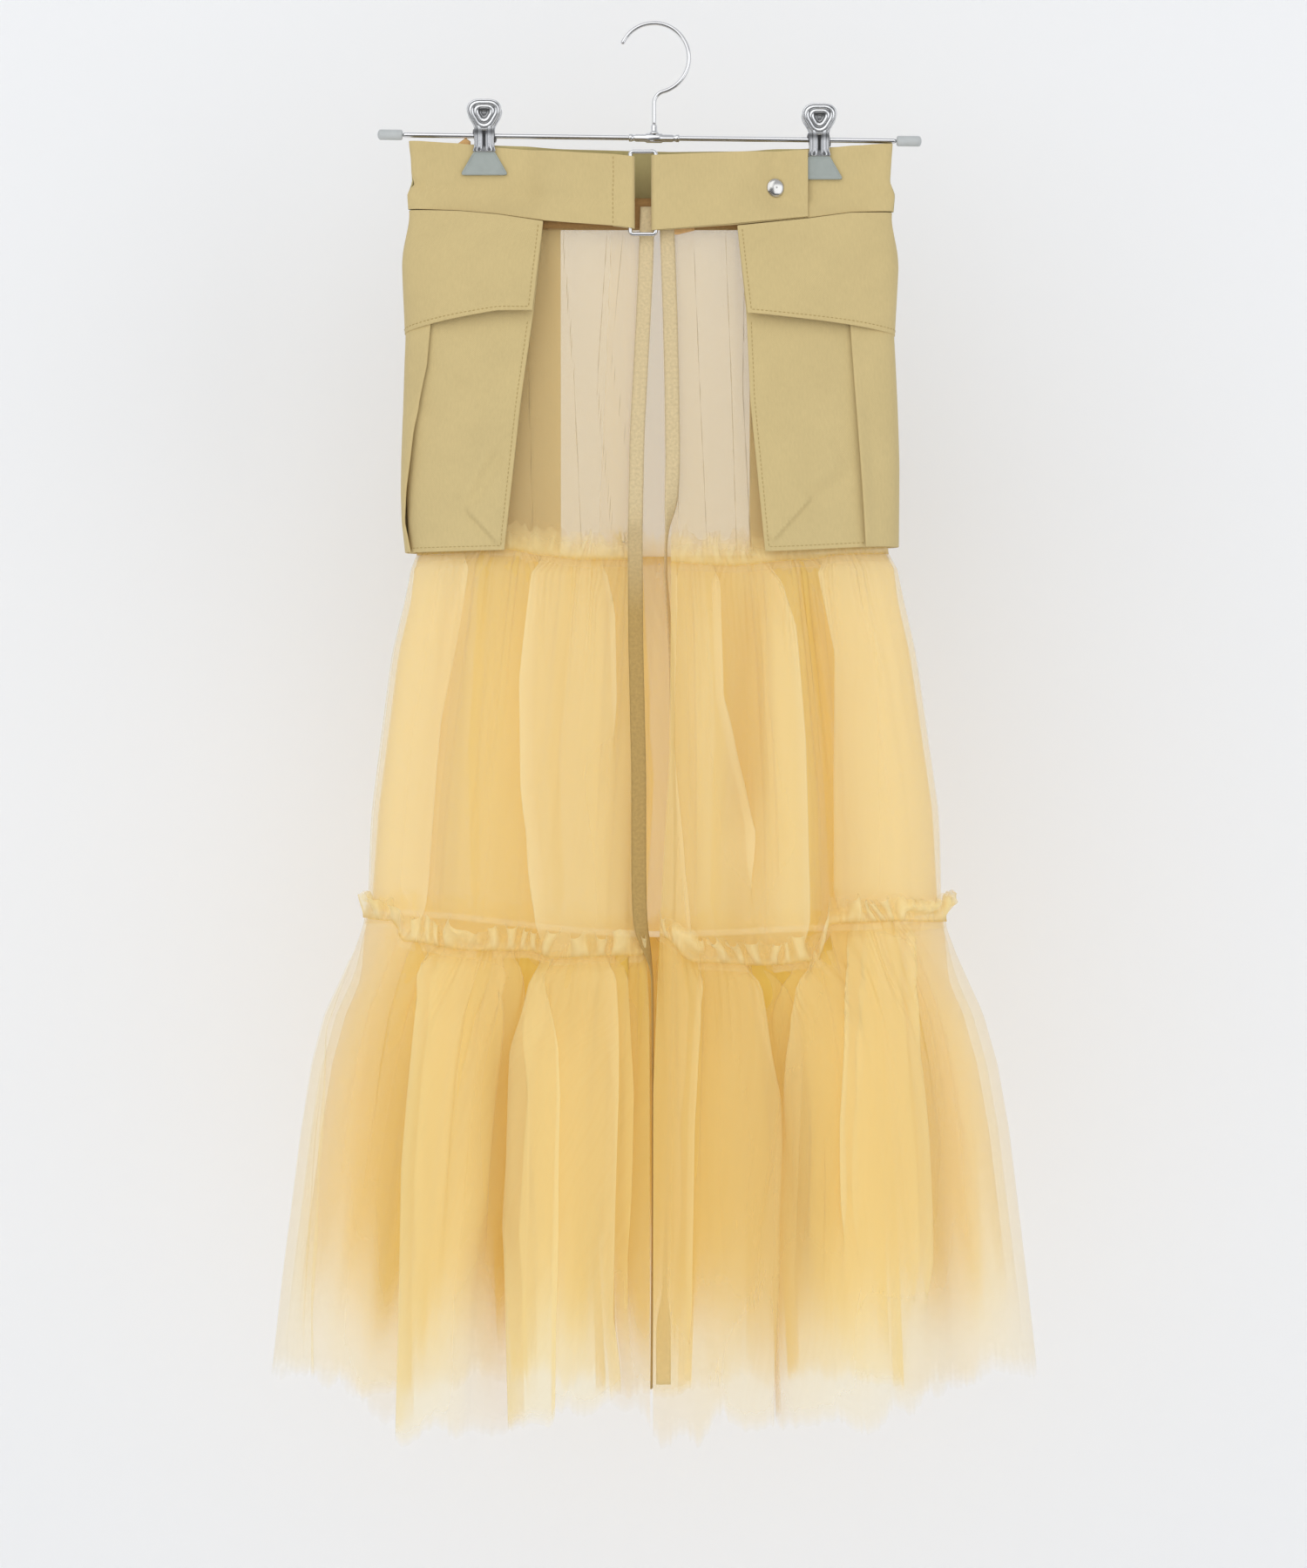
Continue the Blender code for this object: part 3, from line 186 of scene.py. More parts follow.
BELT = Tube((
    (-0.078, 0.1692, 0.1632, 0.0105, 0.0105), (-0.108, 0.1672, 0.1610, 0.0115, 0.0110),
    (-0.117, 0.1702, 0.1644, 0.0120, 0.0110), (-0.135, 0.1690, 0.1625, 0.0130, 0.0120),
    (-0.215, 0.1668, 0.1594, 0.0175, 0.0165), (-0.300, 0.1690, 0.1627, 0.0210, 0.0200),
    (-0.365, 0.1672, 0.1636, 0.0235, 0.0220),
))
SKIRT = Tube((
    (-0.117, 0.1610, 0.1560, 0.0055, 0.0055), (-0.141, 0.1610, 0.1560, 0.0060, 0.0060),
    (-0.300, 0.1610, 0.1560, 0.0130, 0.0130), (-0.350, 0.1615, 0.1575, 0.0155, 0.0155),
    (-0.365, 0.1625, 0.1590, 0.0165, 0.0160), (-0.374, 0.1665, 0.1650, 0.0190, 0.0180),
    (-0.430, 0.1760, 0.1760, 0.0280, 0.0240), (-0.540, 0.1900, 0.1920, 0.0350, 0.0310),
    (-0.610, 0.1950, 0.1960, 0.0360, 0.0330), (-0.622, 0.1985, 0.1980, 0.0365, 0.0330),
    (-0.640, 0.2060, 0.2050, 0.0375, 0.0335), (-0.680, 0.2250, 0.2240, 0.0430, 0.0380),
    (-0.715, 0.2345, 0.2340, 0.0460, 0.0405), (-0.760, 0.2420, 0.2420, 0.0490, 0.0430),
    (-0.860, 0.2550, 0.2540, 0.0540, 0.0470), (-0.960, 0.2660, 0.2650, 0.0580, 0.0500),
))


@dataclass(frozen=True)
class RoundLine:
    """A seam or hem: heights at named girths, eased between them all round the tube."""

    places: tuple[tuple[float, float], ...]  # girth, z

    def __call__(self, girth: Array) -> Array:
        """The height at each girth."""
        named = np.array([place[0] for place in self.places] + [self.places[0][0] + 4.0])
        heights = np.array([place[1] for place in self.places] + [self.places[0][1]])
        around = (girth - named[0]) % 4.0 + named[0]
        after = np.clip(np.searchsorted(named, around, side="right"), 1, len(named) - 1)
        share = smooth_step((around - named[after - 1]) / (named[after] - named[after - 1]))
        return heights[after - 1] + (heights[after] - heights[after - 1]) * share


UPPER_SEAM = RoundLine((
    (-1.00, -0.3640), (-0.60, -0.3610), (-0.45, -0.3650), (-0.30, -0.3680), (-0.05, -0.3680),
    (0.05, -0.3700), (0.30, -0.3720), (0.60, -0.3680), (0.80, -0.3640), (1.00, -0.3630),
    (2.00, -0.3650),
))
LOWER_SEAM = RoundLine((
    (-1.00, -0.6130), (-0.89, -0.6150), (-0.82, -0.6290), (-0.60, -0.6350), (-0.40, -0.6350),
    (-0.33, -0.6400), (-0.05, -0.6380), (0.01, -0.6240), (0.13, -0.6430), (0.35, -0.6450),
    (0.51, -0.6420), (0.60, -0.6170), (0.80, -0.6150), (1.00, -0.6160), (1.30, -0.6240),
    (2.00, -0.6290),
))
HEM = RoundLine((
    (-1.00, -0.9290), (-0.85, -0.9260), (-0.66, -0.9590), (-0.56, -0.9640), (-0.36, -0.9600),
    (-0.22, -0.9520), (-0.10, -0.9350), (-0.05, -0.9450), (0.01, -0.9700), (0.21, -0.9560),
    (0.43, -0.9560), (0.50, -0.9600), (0.64, -0.9450), (0.78, -0.9300), (0.90, -0.9150),
    (1.00, -0.9300), (1.35, -0.9480), (1.60, -0.9380), (2.00, -0.9520), (2.40, -0.9400),
    (2.70, -0.9500),
))
WAIST_Z = -0.1408  # where the yoke hangs from the inner waistband
BACK_COLUMNS = 1.3  # times as many columns in a back part as in a front part

# The two edges of the opening at the centre front: z, left x, right x
OPENING = (
    (-0.970, -0.0035, -0.0016), (-0.730, -0.0038, -0.0014), (-0.680, -0.0040, 0.0006),
    (-0.625, -0.0066, 0.0030),
    (-0.500, -0.0090, 0.0100), (-0.352, -0.0100, 0.0110), (-0.250, -0.0080, 0.0112),
    (-0.141, -0.0054, 0.0078),
)

# The main creases: top z, bottom z, girth at the top and bottom, half width in girth, how far out
CREASES = (
    (-0.38, -0.66, -0.96, -0.96, 0.06, 0.004), (-0.36, -0.64, -0.79, -0.80, 0.07, -0.009),
    (-0.36, -0.67, -0.29, -0.24, 0.15, 0.008), (-0.37, -0.66, 0.19, 0.20, 0.08, 0.006),
    (-0.36, -0.57, 0.40, 0.30, 0.06, -0.006), (-0.37, -0.66, 0.47, 0.46, 0.09, 0.007),
    (-0.36, -0.67, 0.64, 0.60, 0.07, -0.011), (-0.38, -0.68, 0.86, 0.84, 0.12, 0.006),
    (-0.37, -0.66, 1.22, 1.25, 0.09, -0.007), (-0.37, -0.64, 1.47, 1.44, 0.10, 0.006),
    (-0.36, -0.66, 1.68, 1.72, 0.08, -0.008), (-0.37, -0.66, 2.02, 1.98, 0.13, 0.007),
    (-0.37, -0.65, 2.34, 2.30, 0.08, -0.008), (-0.37, -0.66, 2.58, 2.62, 0.11, 0.006),
    (-0.36, -0.66, 2.80, 2.78, 0.07, -0.006), (-0.65, -1.04, -0.80, -0.74, 0.09, -0.012),
    (-0.65, -1.04, -0.60, -0.52, 0.09, 0.009), (-0.65, -1.04, -0.44, -0.36, 0.05, -0.011),
    (-0.65, -1.04, -0.27, -0.22, 0.10, 0.008), (-0.65, -1.04, 0.18, 0.15, 0.12, 0.003),
    (-0.65, -1.04, 0.375, 0.32, 0.045, -0.014), (-0.65, -1.04, 0.60, 0.52, 0.12, 0.010),
    (-0.65, -1.04, 0.84, 0.74, 0.06, -0.010), (-0.65, -1.04, 1.16, 1.20, 0.08, -0.009),
    (-0.65, -1.04, 1.38, 1.40, 0.10, 0.008), (-0.65, -1.04, 1.62, 1.60, 0.07, -0.011),
    (-0.65, -1.04, 1.86, 1.88, 0.11, 0.009), (-0.65, -1.04, 2.10, 2.12, 0.06, -0.010),
    (-0.65, -1.04, 2.36, 2.34, 0.12, 0.009), (-0.65, -1.04, 2.66, 2.62, 0.07, -0.011),
    (-0.65, -1.04, 2.86, 2.82, 0.08, 0.006),
)


def relief(girth: Array, z: Array) -> Array:
    """How far the skirt's main creases push the net out: a bell across each, eased at its ends."""
    push = np.zeros(np.broadcast(girth, z).shape)
    for top, bottom, girth_top, girth_bottom, width, out in CREASES:
        drop = (top - z) / (top - bottom)
        away = wrapped(girth - girth_top - (girth_bottom - girth_top) * drop)
        fade = smooth_step(drop / 0.22) * smooth_step((1.0 - drop) / 0.22)
        push += out * bell(away, width) * fade
    return push


def moved(line: Line, rise: float) -> Line:
    """A line a fixed distance above another."""
    return lambda girth: line(girth) + rise


def level(z: float) -> Line:
    """A line at one height."""
    return lambda girth: z + 0.0 * girth


# ---------------------------------------------------------------- meshes
def placed(name: str, mesh: bpy.types.Mesh) -> bpy.types.Object:
    """Smooths and checks a mesh and puts it in the scene."""
    mesh.polygons.foreach_set("use_smooth", np.ones(len(mesh.polygons), dtype=bool))
    mesh.validate()
    piece = bpy.data.objects.new(name, mesh)
    bpy.context.scene.collection.objects.link(piece)
    return piece


def grid_mesh(name: str, points: Array, loop: bool = False,
              marks: dict[str, Array] | None = None, cloth: bool = True) -> bpy.types.Object:
    """A smooth surface through a grid of points, with its cloth run as a UV map in metres.

    Args:
        name: name of the piece.
        points: rows by columns by xyz; rows go down and columns go anticlockwise seen from above.
        loop: whether the last column joins the first.
        marks: named numbers at the grid's points, that the piece's finish reads.
        cloth: whether it is cloth; a hard piece's map stays at zero.

    Returns:
        The object, at the origin.
    """
    rows, columns = points.shape[:2]
    run = cloth_run(points) if cloth else np.zeros((rows, columns, 2))
    first = np.arange(rows - 1)[:, None] * columns + np.arange(columns if loop else columns - 1)
    second = first + 1
    if loop:
        second[:, -1] -= columns
    quads = np.stack([first, first + columns, second + columns, second], axis=-1).reshape(-1, 4)
    mesh = bpy.data.meshes.new(name)
    mesh.vertices.add(rows * columns)
    mesh.vertices.foreach_set("co", points.astype(np.float32).ravel())
    mesh.loops.add(quads.size)
    mesh.loops.foreach_set("vertex_index", quads.astype(np.int32).ravel())
    mesh.polygons.add(len(quads))
    mesh.polygons.foreach_set("loop_start", np.arange(0, quads.size, 4, dtype=np.int32))
    mesh.update(calc_edges=True)
    layer = mesh.uv_layers.new(name="cloth")
    layer.data.foreach_set("uv", run.reshape(-1, 2)[quads.ravel()].astype(np.float32).ravel())
    for label, values in (marks or {}).items():
        mark = mesh.attributes.new(label, "FLOAT", "POINT")
        mark.data.foreach_set("value", values.astype(np.float32).ravel())
    return placed(name, mesh)


def cloth_run(points: Array) -> Array:
    """Distance across and down a grid of points, from its first column and row."""
    across = np.linalg.norm(np.diff(points, axis=1), axis=-1)
    down = np.linalg.norm(np.diff(points, axis=0), axis=-1)
    u = np.concatenate([np.zeros((len(points), 1)), np.cumsum(across, axis=1)], axis=1)
    v = np.concatenate([np.zeros((1, points.shape[1])), np.cumsum(down, axis=0)], axis=0)
    return np.stack([u, v], axis=-1)


def soup_mesh(name: str, points: Array, faces: Array) -> bpy.types.Object:
    """A smooth mesh from points and faces of one size."""
    mesh = bpy.data.meshes.new(name)
    mesh.from_pydata(points.tolist(), [], faces.tolist())
    return placed(name, mesh)


def swept(path: Array, radii: Array, sides: int, guide: Sequence[float],
          closed: bool = False) -> tuple[Array, Array]:
    """A round wire along a path: a circle square to it, turned towards a guide direction.

    Args:
        path: points of the middle line.
        radii: half-thickness at each point.
        sides: corners of the circle.
        guide: a direction that the path never runs along.
        closed: whether the path is a ring.

    Returns:
        Its points and quads.
    """
    count = len(path)
    ahead = np.roll(path, -1, axis=0) - np.roll(path, 1, axis=0)
    if not closed:
        ahead[0], ahead[-1] = path[1] - path[0], path[-1] - path[-2]
    ahead /= np.linalg.norm(ahead, axis=1, keepdims=True)
    towards = np.array(guide)
    sideways = towards - ahead * (ahead @ towards)[:, None]
    sideways /= np.linalg.norm(sideways, axis=1, keepdims=True)
    upright = np.cross(ahead, sideways)
    angle = np.linspace(0.0, 2.0 * math.pi, sides, endpoint=False)[None, :, None]
    ring = sideways[:, None] * np.cos(angle) + upright[:, None] * np.sin(angle)
    points = (path[:, None] + ring * radii[:, None, None]).reshape(-1, 3)
    first = np.arange(count if closed else count - 1)[:, None] * sides + np.arange(sides)
    beside = first - np.arange(sides) + (np.arange(sides) + 1) % sides
    total = count * sides
    quads = np.stack([first, beside, (beside + sides) % total, (first + sides) % total], axis=-1)
    return points, quads.reshape(-1, 4)


def wire_piece(name: str, path: Array, radius: float, sides: int = 20,
               guide: Sequence[float] = (0.0, 1.0, 0.0), closed: bool = False) -> bpy.types.Object:
    """A wire of one thickness, its open ends rounded over."""
    radii = np.full(len(path), radius)
    if not closed:
        ahead = (path[1] - path[0]) / np.linalg.norm(path[1] - path[0])
        last = (path[-1] - path[-2]) / np.linalg.norm(path[-1] - path[-2])
        turn = np.linspace(0.0, math.pi / 2, 6)
        start = path[0] + ahead * radius * (1.0 - np.sin(turn))[:, None]
        end = path[-1] - last * radius * (1.0 - np.sin(turn[::-1]))[:, None]
        inner = np.linalg.norm(path - path[0], axis=1) > radius
        inner &= np.linalg.norm(path - path[-1], axis=1) > radius
        path = np.concatenate([start[::-1], path[inner], end[::-1]])
        tips = np.maximum(np.cos(turn), 0.02) * radius
        radii = np.concatenate([tips[::-1], np.full(inner.sum(), radius), tips])
    points, quads = swept(path, radii, sides, guide, closed)
    piece = soup_mesh(name, points, quads)
    if not closed:
        close_ends(piece)
    return piece


def close_ends(piece: bpy.types.Object, bridge: bool = False) -> None:
    """Closes a piece's open ends, each by a face or both by a wall, and turns its faces out."""
    shape = bmesh.new()
    shape.from_mesh(piece.data)
    ends = [edge for edge in shape.edges if edge.is_boundary]
    if bridge:
        bmesh.ops.bridge_loops(shape, edges=ends)
    else:
        bmesh.ops.holes_fill(shape, edges=ends)
    bmesh.ops.recalc_face_normals(shape, faces=shape.faces)
    shape.to_mesh(piece.data)
    shape.free()


def lathe(name: str, profile: Sequence[tuple[float, float]], where: Matrix,
          steps: int = 40) -> bpy.types.Object:
    """A profile of radius and height turned about Z and put in place.

    Args:
        name: name of the piece.
        profile: radius and height, top to bottom.
        where: where the turned piece's own axes go.
        steps: corners round the axis.

    Returns:
        The closed piece.
    """
    angle = np.linspace(0.0, 2.0 * math.pi, steps, endpoint=False)
    line = np.array(profile)
    points = np.stack([line[:, :1] * np.cos(angle), line[:, :1] * np.sin(angle),
                       np.repeat(line[:, 1:], steps, axis=1)], axis=-1)
    piece = grid_mesh(name, points, loop=True, cloth=False)
    if line[0][0] < 1e-4:
        piece.data.transform(where)
        close_ends(piece)
    else:
        close_ends(piece, bridge=True)
        piece.data.transform(where)
    return piece


def thicken(piece: bpy.types.Object, thickness: float, edge: float = 0.0,
            offset: float = 0.0) -> None:
    """Gives a surface a wall, half to each side at offset 0, and rounds the wall's rim."""
    wall = piece.modifiers.new("wall", "SOLIDIFY")
    wall.thickness = thickness
    wall.offset = offset
    wall.use_even_offset = False
    if edge:
        rim = piece.modifiers.new("rim", "BEVEL")
        rim.width = edge
        rim.segments = 2
        rim.limit_method = "ANGLE"
        rim.angle_limit = math.radians(50)
        rim.harden_normals = False


# ---------------------------------------------------------------- finishes
class Tree:
    """A material's or group's nodes, added by type."""

    def __init__(self, tree: bpy.types.NodeTree) -> None:
        """Starts on an existing tree."""
        self.tree = tree

    def add(self, kind: str, **values: object) -> bpy.types.Node:
        """Adds a node with its values put in."""
        return self.put(self.tree.nodes.new("ShaderNode" + kind), **values)

    def put(self, node: bpy.types.Node, **values: object) -> bpy.types.Node:
        """Links or sets a node's inputs by name, or its properties where no input has the name."""
        for key, value in values.items():
            label = key.replace("_", " ")
            socket = next((s for s in node.inputs if s.name == label), None)
            if socket is None:
                setattr(node, key, value)
            elif isinstance(value, bpy.types.NodeSocket):
                self.tree.links.new(value, socket)
            else:
                socket.default_value = value
        return node

    def link(self, source: bpy.types.NodeSocket, target: bpy.types.NodeSocket) -> None:
        """Joins two sockets."""
        self.tree.links.new(source, target)

    def math(self, operation: str, first: object, second: object = 0.0) -> bpy.types.NodeSocket:
        """The result of a Math node on two sockets or numbers."""
        node = self.tree.nodes.new("ShaderNodeMath")
        node.operation = operation
        for socket, value in zip(node.inputs, (first, second)):
            if isinstance(value, bpy.types.NodeSocket):
                self.tree.links.new(value, socket)
            else:
                socket.default_value = value
        return node.outputs[0]


def effect_group(name: str, sockets: Sequence[tuple[str, str, str]]) -> tuple[Tree, dict]:
    """An empty node group with its sockets.

    Args:
        name: the group's name.
        sockets: name, direction and type of each socket.

    Returns:
        The group's tree, and its input and output nodes by name.
    """
    group = bpy.data.node_groups.new(name, "ShaderNodeTree")
    for label, direction, kind in sockets:
        group.interface.new_socket(label, in_out=direction, socket_type=kind)
    tree = Tree(group)
    ends = {"in": group.nodes.new("NodeGroupInput"), "out": group.nodes.new("NodeGroupOutput")}
    return tree, ends


def weave_group() -> bpy.types.NodeTree:
    """Twill on a cloth map in metres: diagonal ribs crossed by threads, with slubs and a soft tone."""
    tree, ends = effect_group("twill weave", [
        ("Map", "INPUT", "NodeSocketVector"), ("Height", "OUTPUT", "NodeSocketFloat"),
        ("Tone", "OUTPUT", "NodeSocketFloat")])
    cloth = ends["in"].outputs["Map"]
    turn = tree.add("Mapping", Vector=cloth, Rotation=(0.0, 0.0, math.radians(52)))
    ribs = tree.add("TexWave", Vector=turn.outputs[0], Scale=420.0, Distortion=0.8, Detail=0.0)
    threads = tree.add("TexNoise", Vector=cloth, Scale=1500.0, Detail=1.0)
    slub_map = tree.add("Mapping", Vector=cloth, Scale=(700.0, 190.0, 1.0))
    slubs = tree.add("TexNoise", Vector=slub_map.outputs[0], Scale=1.0, Detail=2.0)
    clouds = tree.add("TexNoise", Vector=cloth, Scale=22.0, Detail=2.0)
    height = tree.math("ADD", tree.math("MULTIPLY", ribs.outputs["Fac"], 0.6),
                       tree.math("MULTIPLY", threads.outputs["Fac"], 0.8))
    tone = tree.math("ADD", tree.math("MULTIPLY", slubs.outputs["Fac"], 0.45),
                     tree.math("MULTIPLY", clouds.outputs["Fac"], 0.55))
    tree.put(ends["out"], Height=height, Tone=tone)
    return tree.tree


def net_group() -> bpy.types.NodeTree:
    """Fine net on a cloth map in metres: long soft streaks where threads bunch, and a fine grain."""
    tree, ends = effect_group("net", [
        ("Map", "INPUT", "NodeSocketVector"), ("Streak", "OUTPUT", "NodeSocketFloat"),
        ("Grain", "OUTPUT", "NodeSocketFloat")])
    cloth = ends["in"].outputs["Map"]
    long = tree.add("Mapping", Vector=cloth, Scale=(260.0, 7.0, 1.0))
    streak = tree.add("TexNoise", Vector=long.outputs[0], Scale=1.0, Detail=3.0)
    grain = tree.add("TexNoise", Vector=cloth, Scale=1400.0, Detail=1.0)
    tree.put(ends["out"], Streak=streak.outputs["Fac"], Grain=grain.outputs["Fac"])
    return tree.tree


def fresh_material(name: str) -> tuple[bpy.types.Material, Tree, bpy.types.Node]:
    """A new node material, its tree and its one Principled shader."""
    material = bpy.data.materials.new(name)
    material.use_nodes = True
    return material, Tree(material.node_tree), material.node_tree.nodes["Principled BSDF"]


def tinted(tree: Tree, amount: bpy.types.NodeSocket, dark: Sequence[float],
           light: Sequence[float]) -> bpy.types.NodeSocket:
    """A colour between two, by an amount that runs from about 0.3 to 0.7."""
    ramp = tree.add("ValToRGB", Fac=amount)
    ramp.color_ramp.elements[0].position = 0.32
    ramp.color_ramp.elements[1].position = 0.68
    ramp.color_ramp.elements[0].color = (*dark, 1.0)
    ramp.color_ramp.elements[1].color = (*light, 1.0)
    return ramp.outputs["Color"]


def shade(colour: Sequence[float], by: float) -> tuple[float, ...]:
    """A colour times a number."""
    return tuple(min(part * by, 1.0) for part in colour)


@dataclass(frozen=True)
class TwillFinish:
    """Matt cotton twill."""

    colour: tuple[float, float, float]
    contrast: float = 0.05
    slot: str = "twill"

    def material(self, name: str, effects: dict) -> bpy.types.Material:
        """The cloth's material: woven ribs in the bump and a soft uneven tone."""
        material, tree, shader = fresh_material(name)
        cloth = tree.add("UVMap", uv_map="cloth")
        weave = tree.add("Group", node_tree=effects["weave"])
        tree.link(cloth.outputs[0], weave.inputs["Map"])
        colour = tinted(tree, weave.outputs["Tone"], shade(self.colour, 1.0 - self.contrast),
                        shade(self.colour, 1.0 + self.contrast))
        bump = tree.add("Bump", Height=weave.outputs["Height"], Strength=0.35, Distance=0.0003)
        tree.put(shader, Base_Color=colour, Normal=bump.outputs[0], Roughness=0.88,
                 Specular_IOR_Level=0.25, Sheen_Weight=0.12, Sheen_Roughness=0.5)
        return material


@dataclass(frozen=True)
class NetFinish:
    """Soft net: how much of what is behind it it covers, its colour in a trough, where it bunches and has
    painted shade, and its colour on a ridge or side, where it has painted light.
    """

    # colour in the troughs: partly bunched net, partly painted shade
    bunched_and_shaded: tuple[float, float, float]
    # colour on the ridges and the tube's sides, with painted light
    light: tuple[float, float, float]
    cover: float
    slot: str = "tulle"

    def material(self, name: str, effects: dict) -> bpy.types.Material:
        """The net's material.

        Its colour goes from the trough colour to the ridge colour by the mark `tone` with a little
        streak, which paints shade and light, and its cover is times the mark `cover`, which thins
        out towards a raw edge.
        """
        material, tree, shader = fresh_material(name)
        cloth = tree.add("UVMap", uv_map="cloth")
        net = tree.add("Group", node_tree=effects["net"])
        tree.link(cloth.outputs[0], net.inputs["Map"])
        # the mark tone paints shade into the troughs and light onto the ridges and sides
        tone = tree.add("Attribute", attribute_name="tone")
        streak = tree.math("MULTIPLY", tree.math("SUBTRACT", net.outputs["Streak"], 0.5), 0.26)
        ramp = tree.add("ValToRGB", Fac=tree.math("ADD", tone.outputs["Fac"], streak))
        ramp.color_ramp.elements[0].color = (*self.bunched_and_shaded, 1.0)
        ramp.color_ramp.elements[1].color = (*self.light, 1.0)
        thin = tree.add("Attribute", attribute_name="cover")
        cover = tree.math("MULTIPLY", thin.outputs["Fac"], self.cover)
        tree.put(shader, Base_Color=ramp.outputs["Color"], Alpha=cover, Roughness=0.95,
                 Specular_IOR_Level=0.1, Sheen_Weight=0.22, Sheen_Roughness=0.45)
        return material


@dataclass(frozen=True)
class RibbonFinish:
    """Narrow woven ribbon or tape, ribbed across."""

    colour: tuple[float, float, float]
    lower: tuple[float, float, float] | None = None  # its colour lower down in the skirt; on the left tie it is painted shade
    rib: float = 0.0009
    slot: str = "ribbon"

    def material(self, name: str, effects: dict) -> bpy.types.Material:
        """The tape's material: fine ribs across it and an uneven tone."""
        material, tree, shader = fresh_material(name)
        cloth = tree.add("UVMap", uv_map="cloth")
        ribs = tree.add("TexWave", Vector=cloth.outputs[0], Scale=0.31 / self.rib, bands_direction="Y")
        grain = tree.add("TexNoise", Vector=cloth.outputs[0], Scale=500.0, Detail=2.0)
        uneven_tone = grain.outputs["Fac"]
        colour = tinted(tree, uneven_tone, shade(self.colour, 0.9), shade(self.colour, 1.06))
        if self.lower:
            under = tinted(tree, uneven_tone, shade(self.lower, 0.9), shade(self.lower, 1.06))
            # about 0.2 m down the tape its colour goes over to the lower one, on the left tie a painted
            # shade
            place = tree.add("SeparateXYZ", Vector=cloth.outputs[0])
            share = tree.math("SUBTRACT", tree.math("MULTIPLY", place.outputs["Y"], 12.0), 2.45)
            blend = tree.add("Mix", data_type="RGBA")
            blend.clamp_factor = True
            tree.link(share, blend.inputs[0])
            tree.link(colour, blend.inputs[6])
            tree.link(under, blend.inputs[7])
            colour = blend.outputs[2]
        bump = tree.add("Bump", Height=ribs.outputs["Fac"], Strength=0.3, Distance=0.0002)
        tree.put(shader, Base_Color=colour, Normal=bump.outputs[0], Roughness=0.7,
                 Specular_IOR_Level=0.3)
        return material


@dataclass(frozen=True)
class MetalFinish:
    """Plated steel, with faint marks in its polish."""

    colour: tuple[float, float, float]
    roughness: float
    shades_grooves: bool = False  # painted shade: darker where the mark says the stamped grooves are
    slot: str = "chrome"

    def material(self, name: str, effects: dict) -> bpy.types.Material:
        """The metal's material: its roughness wanders a little, and stamped grooves get painted shade."""
        material, tree, shader = fresh_material(name)
        place = tree.add("TexCoord")
        marks = tree.add("TexNoise", Vector=place.outputs["Object"], Scale=260.0, Detail=4.0)
        low = tree.math("MULTIPLY", marks.outputs["Fac"], self.roughness * 0.7)
        tree.link(tree.math("ADD", low, self.roughness * 0.65), shader.inputs["Roughness"])
        shader.inputs["Base Color"].default_value = (*self.colour, 1.0)
        if self.shades_grooves:
            # painted shade in the stamped grooves: the colour darkens to a sixth of itself where the mark
            # is 1
            groove_shade = tree.add("Attribute", attribute_name="groove_shade")
            ramp = tree.add("ValToRGB", Fac=groove_shade.outputs["Fac"])
            ramp.color_ramp.elements[0].color = (*self.colour, 1.0)
            ramp.color_ramp.elements[1].color = (*shade(self.colour, 0.16), 1.0)
            tree.link(ramp.outputs["Color"], shader.inputs["Base Color"])
        shader.inputs["Metallic"].default_value = 1.0
        return material


@dataclass(frozen=True)
class PlasticFinish:
    """Soft plastic or rubber, finely grained."""

    colour: tuple[float, float, float]
    roughness: float
    slot: str = "vinyl"

    def material(self, name: str, effects: dict) -> bpy.types.Material:
        """The plastic's material: a fine grain and faint clouds."""
        material, tree, shader = fresh_material(name)
        place = tree.add("TexCoord")
        clouds = tree.add("TexNoise", Vector=place.outputs["Object"], Scale=120.0, Detail=3.0)
        grain = tree.add("TexNoise", Vector=place.outputs["Object"], Scale=2500.0, Detail=1.0)
        colour = tinted(tree, clouds.outputs["Fac"], shade(self.colour, 0.94), shade(self.colour, 1.05))
        bump = tree.add("Bump", Height=grain.outputs["Fac"], Strength=0.25, Distance=0.0001)
        tree.put(shader, Base_Color=colour, Normal=bump.outputs[0], Roughness=self.roughness)
        return material


TWILL = TwillFinish((0.625, 0.492, 0.237))
# a darker copy of the twill: painted shade on the back length, which lies inside the belt
SHADED_TWILL = TwillFinish((0.50, 0.42, 0.19))
THREAD = TwillFinish((0.47, 0.35, 0.14), contrast=0.02)
OUTER_NET = NetFinish((0.84, 0.60, 0.22), (0.96, 0.81, 0.46), 0.34)
INNER_NET = NetFinish((0.66, 0.38, 0.05), (0.90, 0.65, 0.18), 0.62)
LOWER_NET = NetFinish((0.78, 0.50, 0.13), (0.94, 0.77, 0.38), 0.37)
SECOND_NET = NetFinish((0.74, 0.46, 0.10), (0.92, 0.71, 0.28), 0.34)
LOWER_INNER_NET = NetFinish((0.58, 0.32, 0.02), (0.89, 0.61, 0.14), 0.84)
RUFFLE_NET = NetFinish((0.70, 0.45, 0.11), (0.96, 0.79, 0.40), 0.50)
YOKE_NET = NetFinish((0.76, 0.56, 0.25), (0.80, 0.61, 0.31), 0.36, slot="sheer_tulle")
# the left tie: its own colour above, and lower down a darker brown, painted shade among the tiers
RIBBON_SHADED_BELOW = RibbonFinish((0.68, 0.54, 0.31), (0.48, 0.31, 0.10))
HIDDEN_RIBBON = RibbonFinish((0.68, 0.54, 0.31), (0.76, 0.58, 0.29))  # behind the net lower down
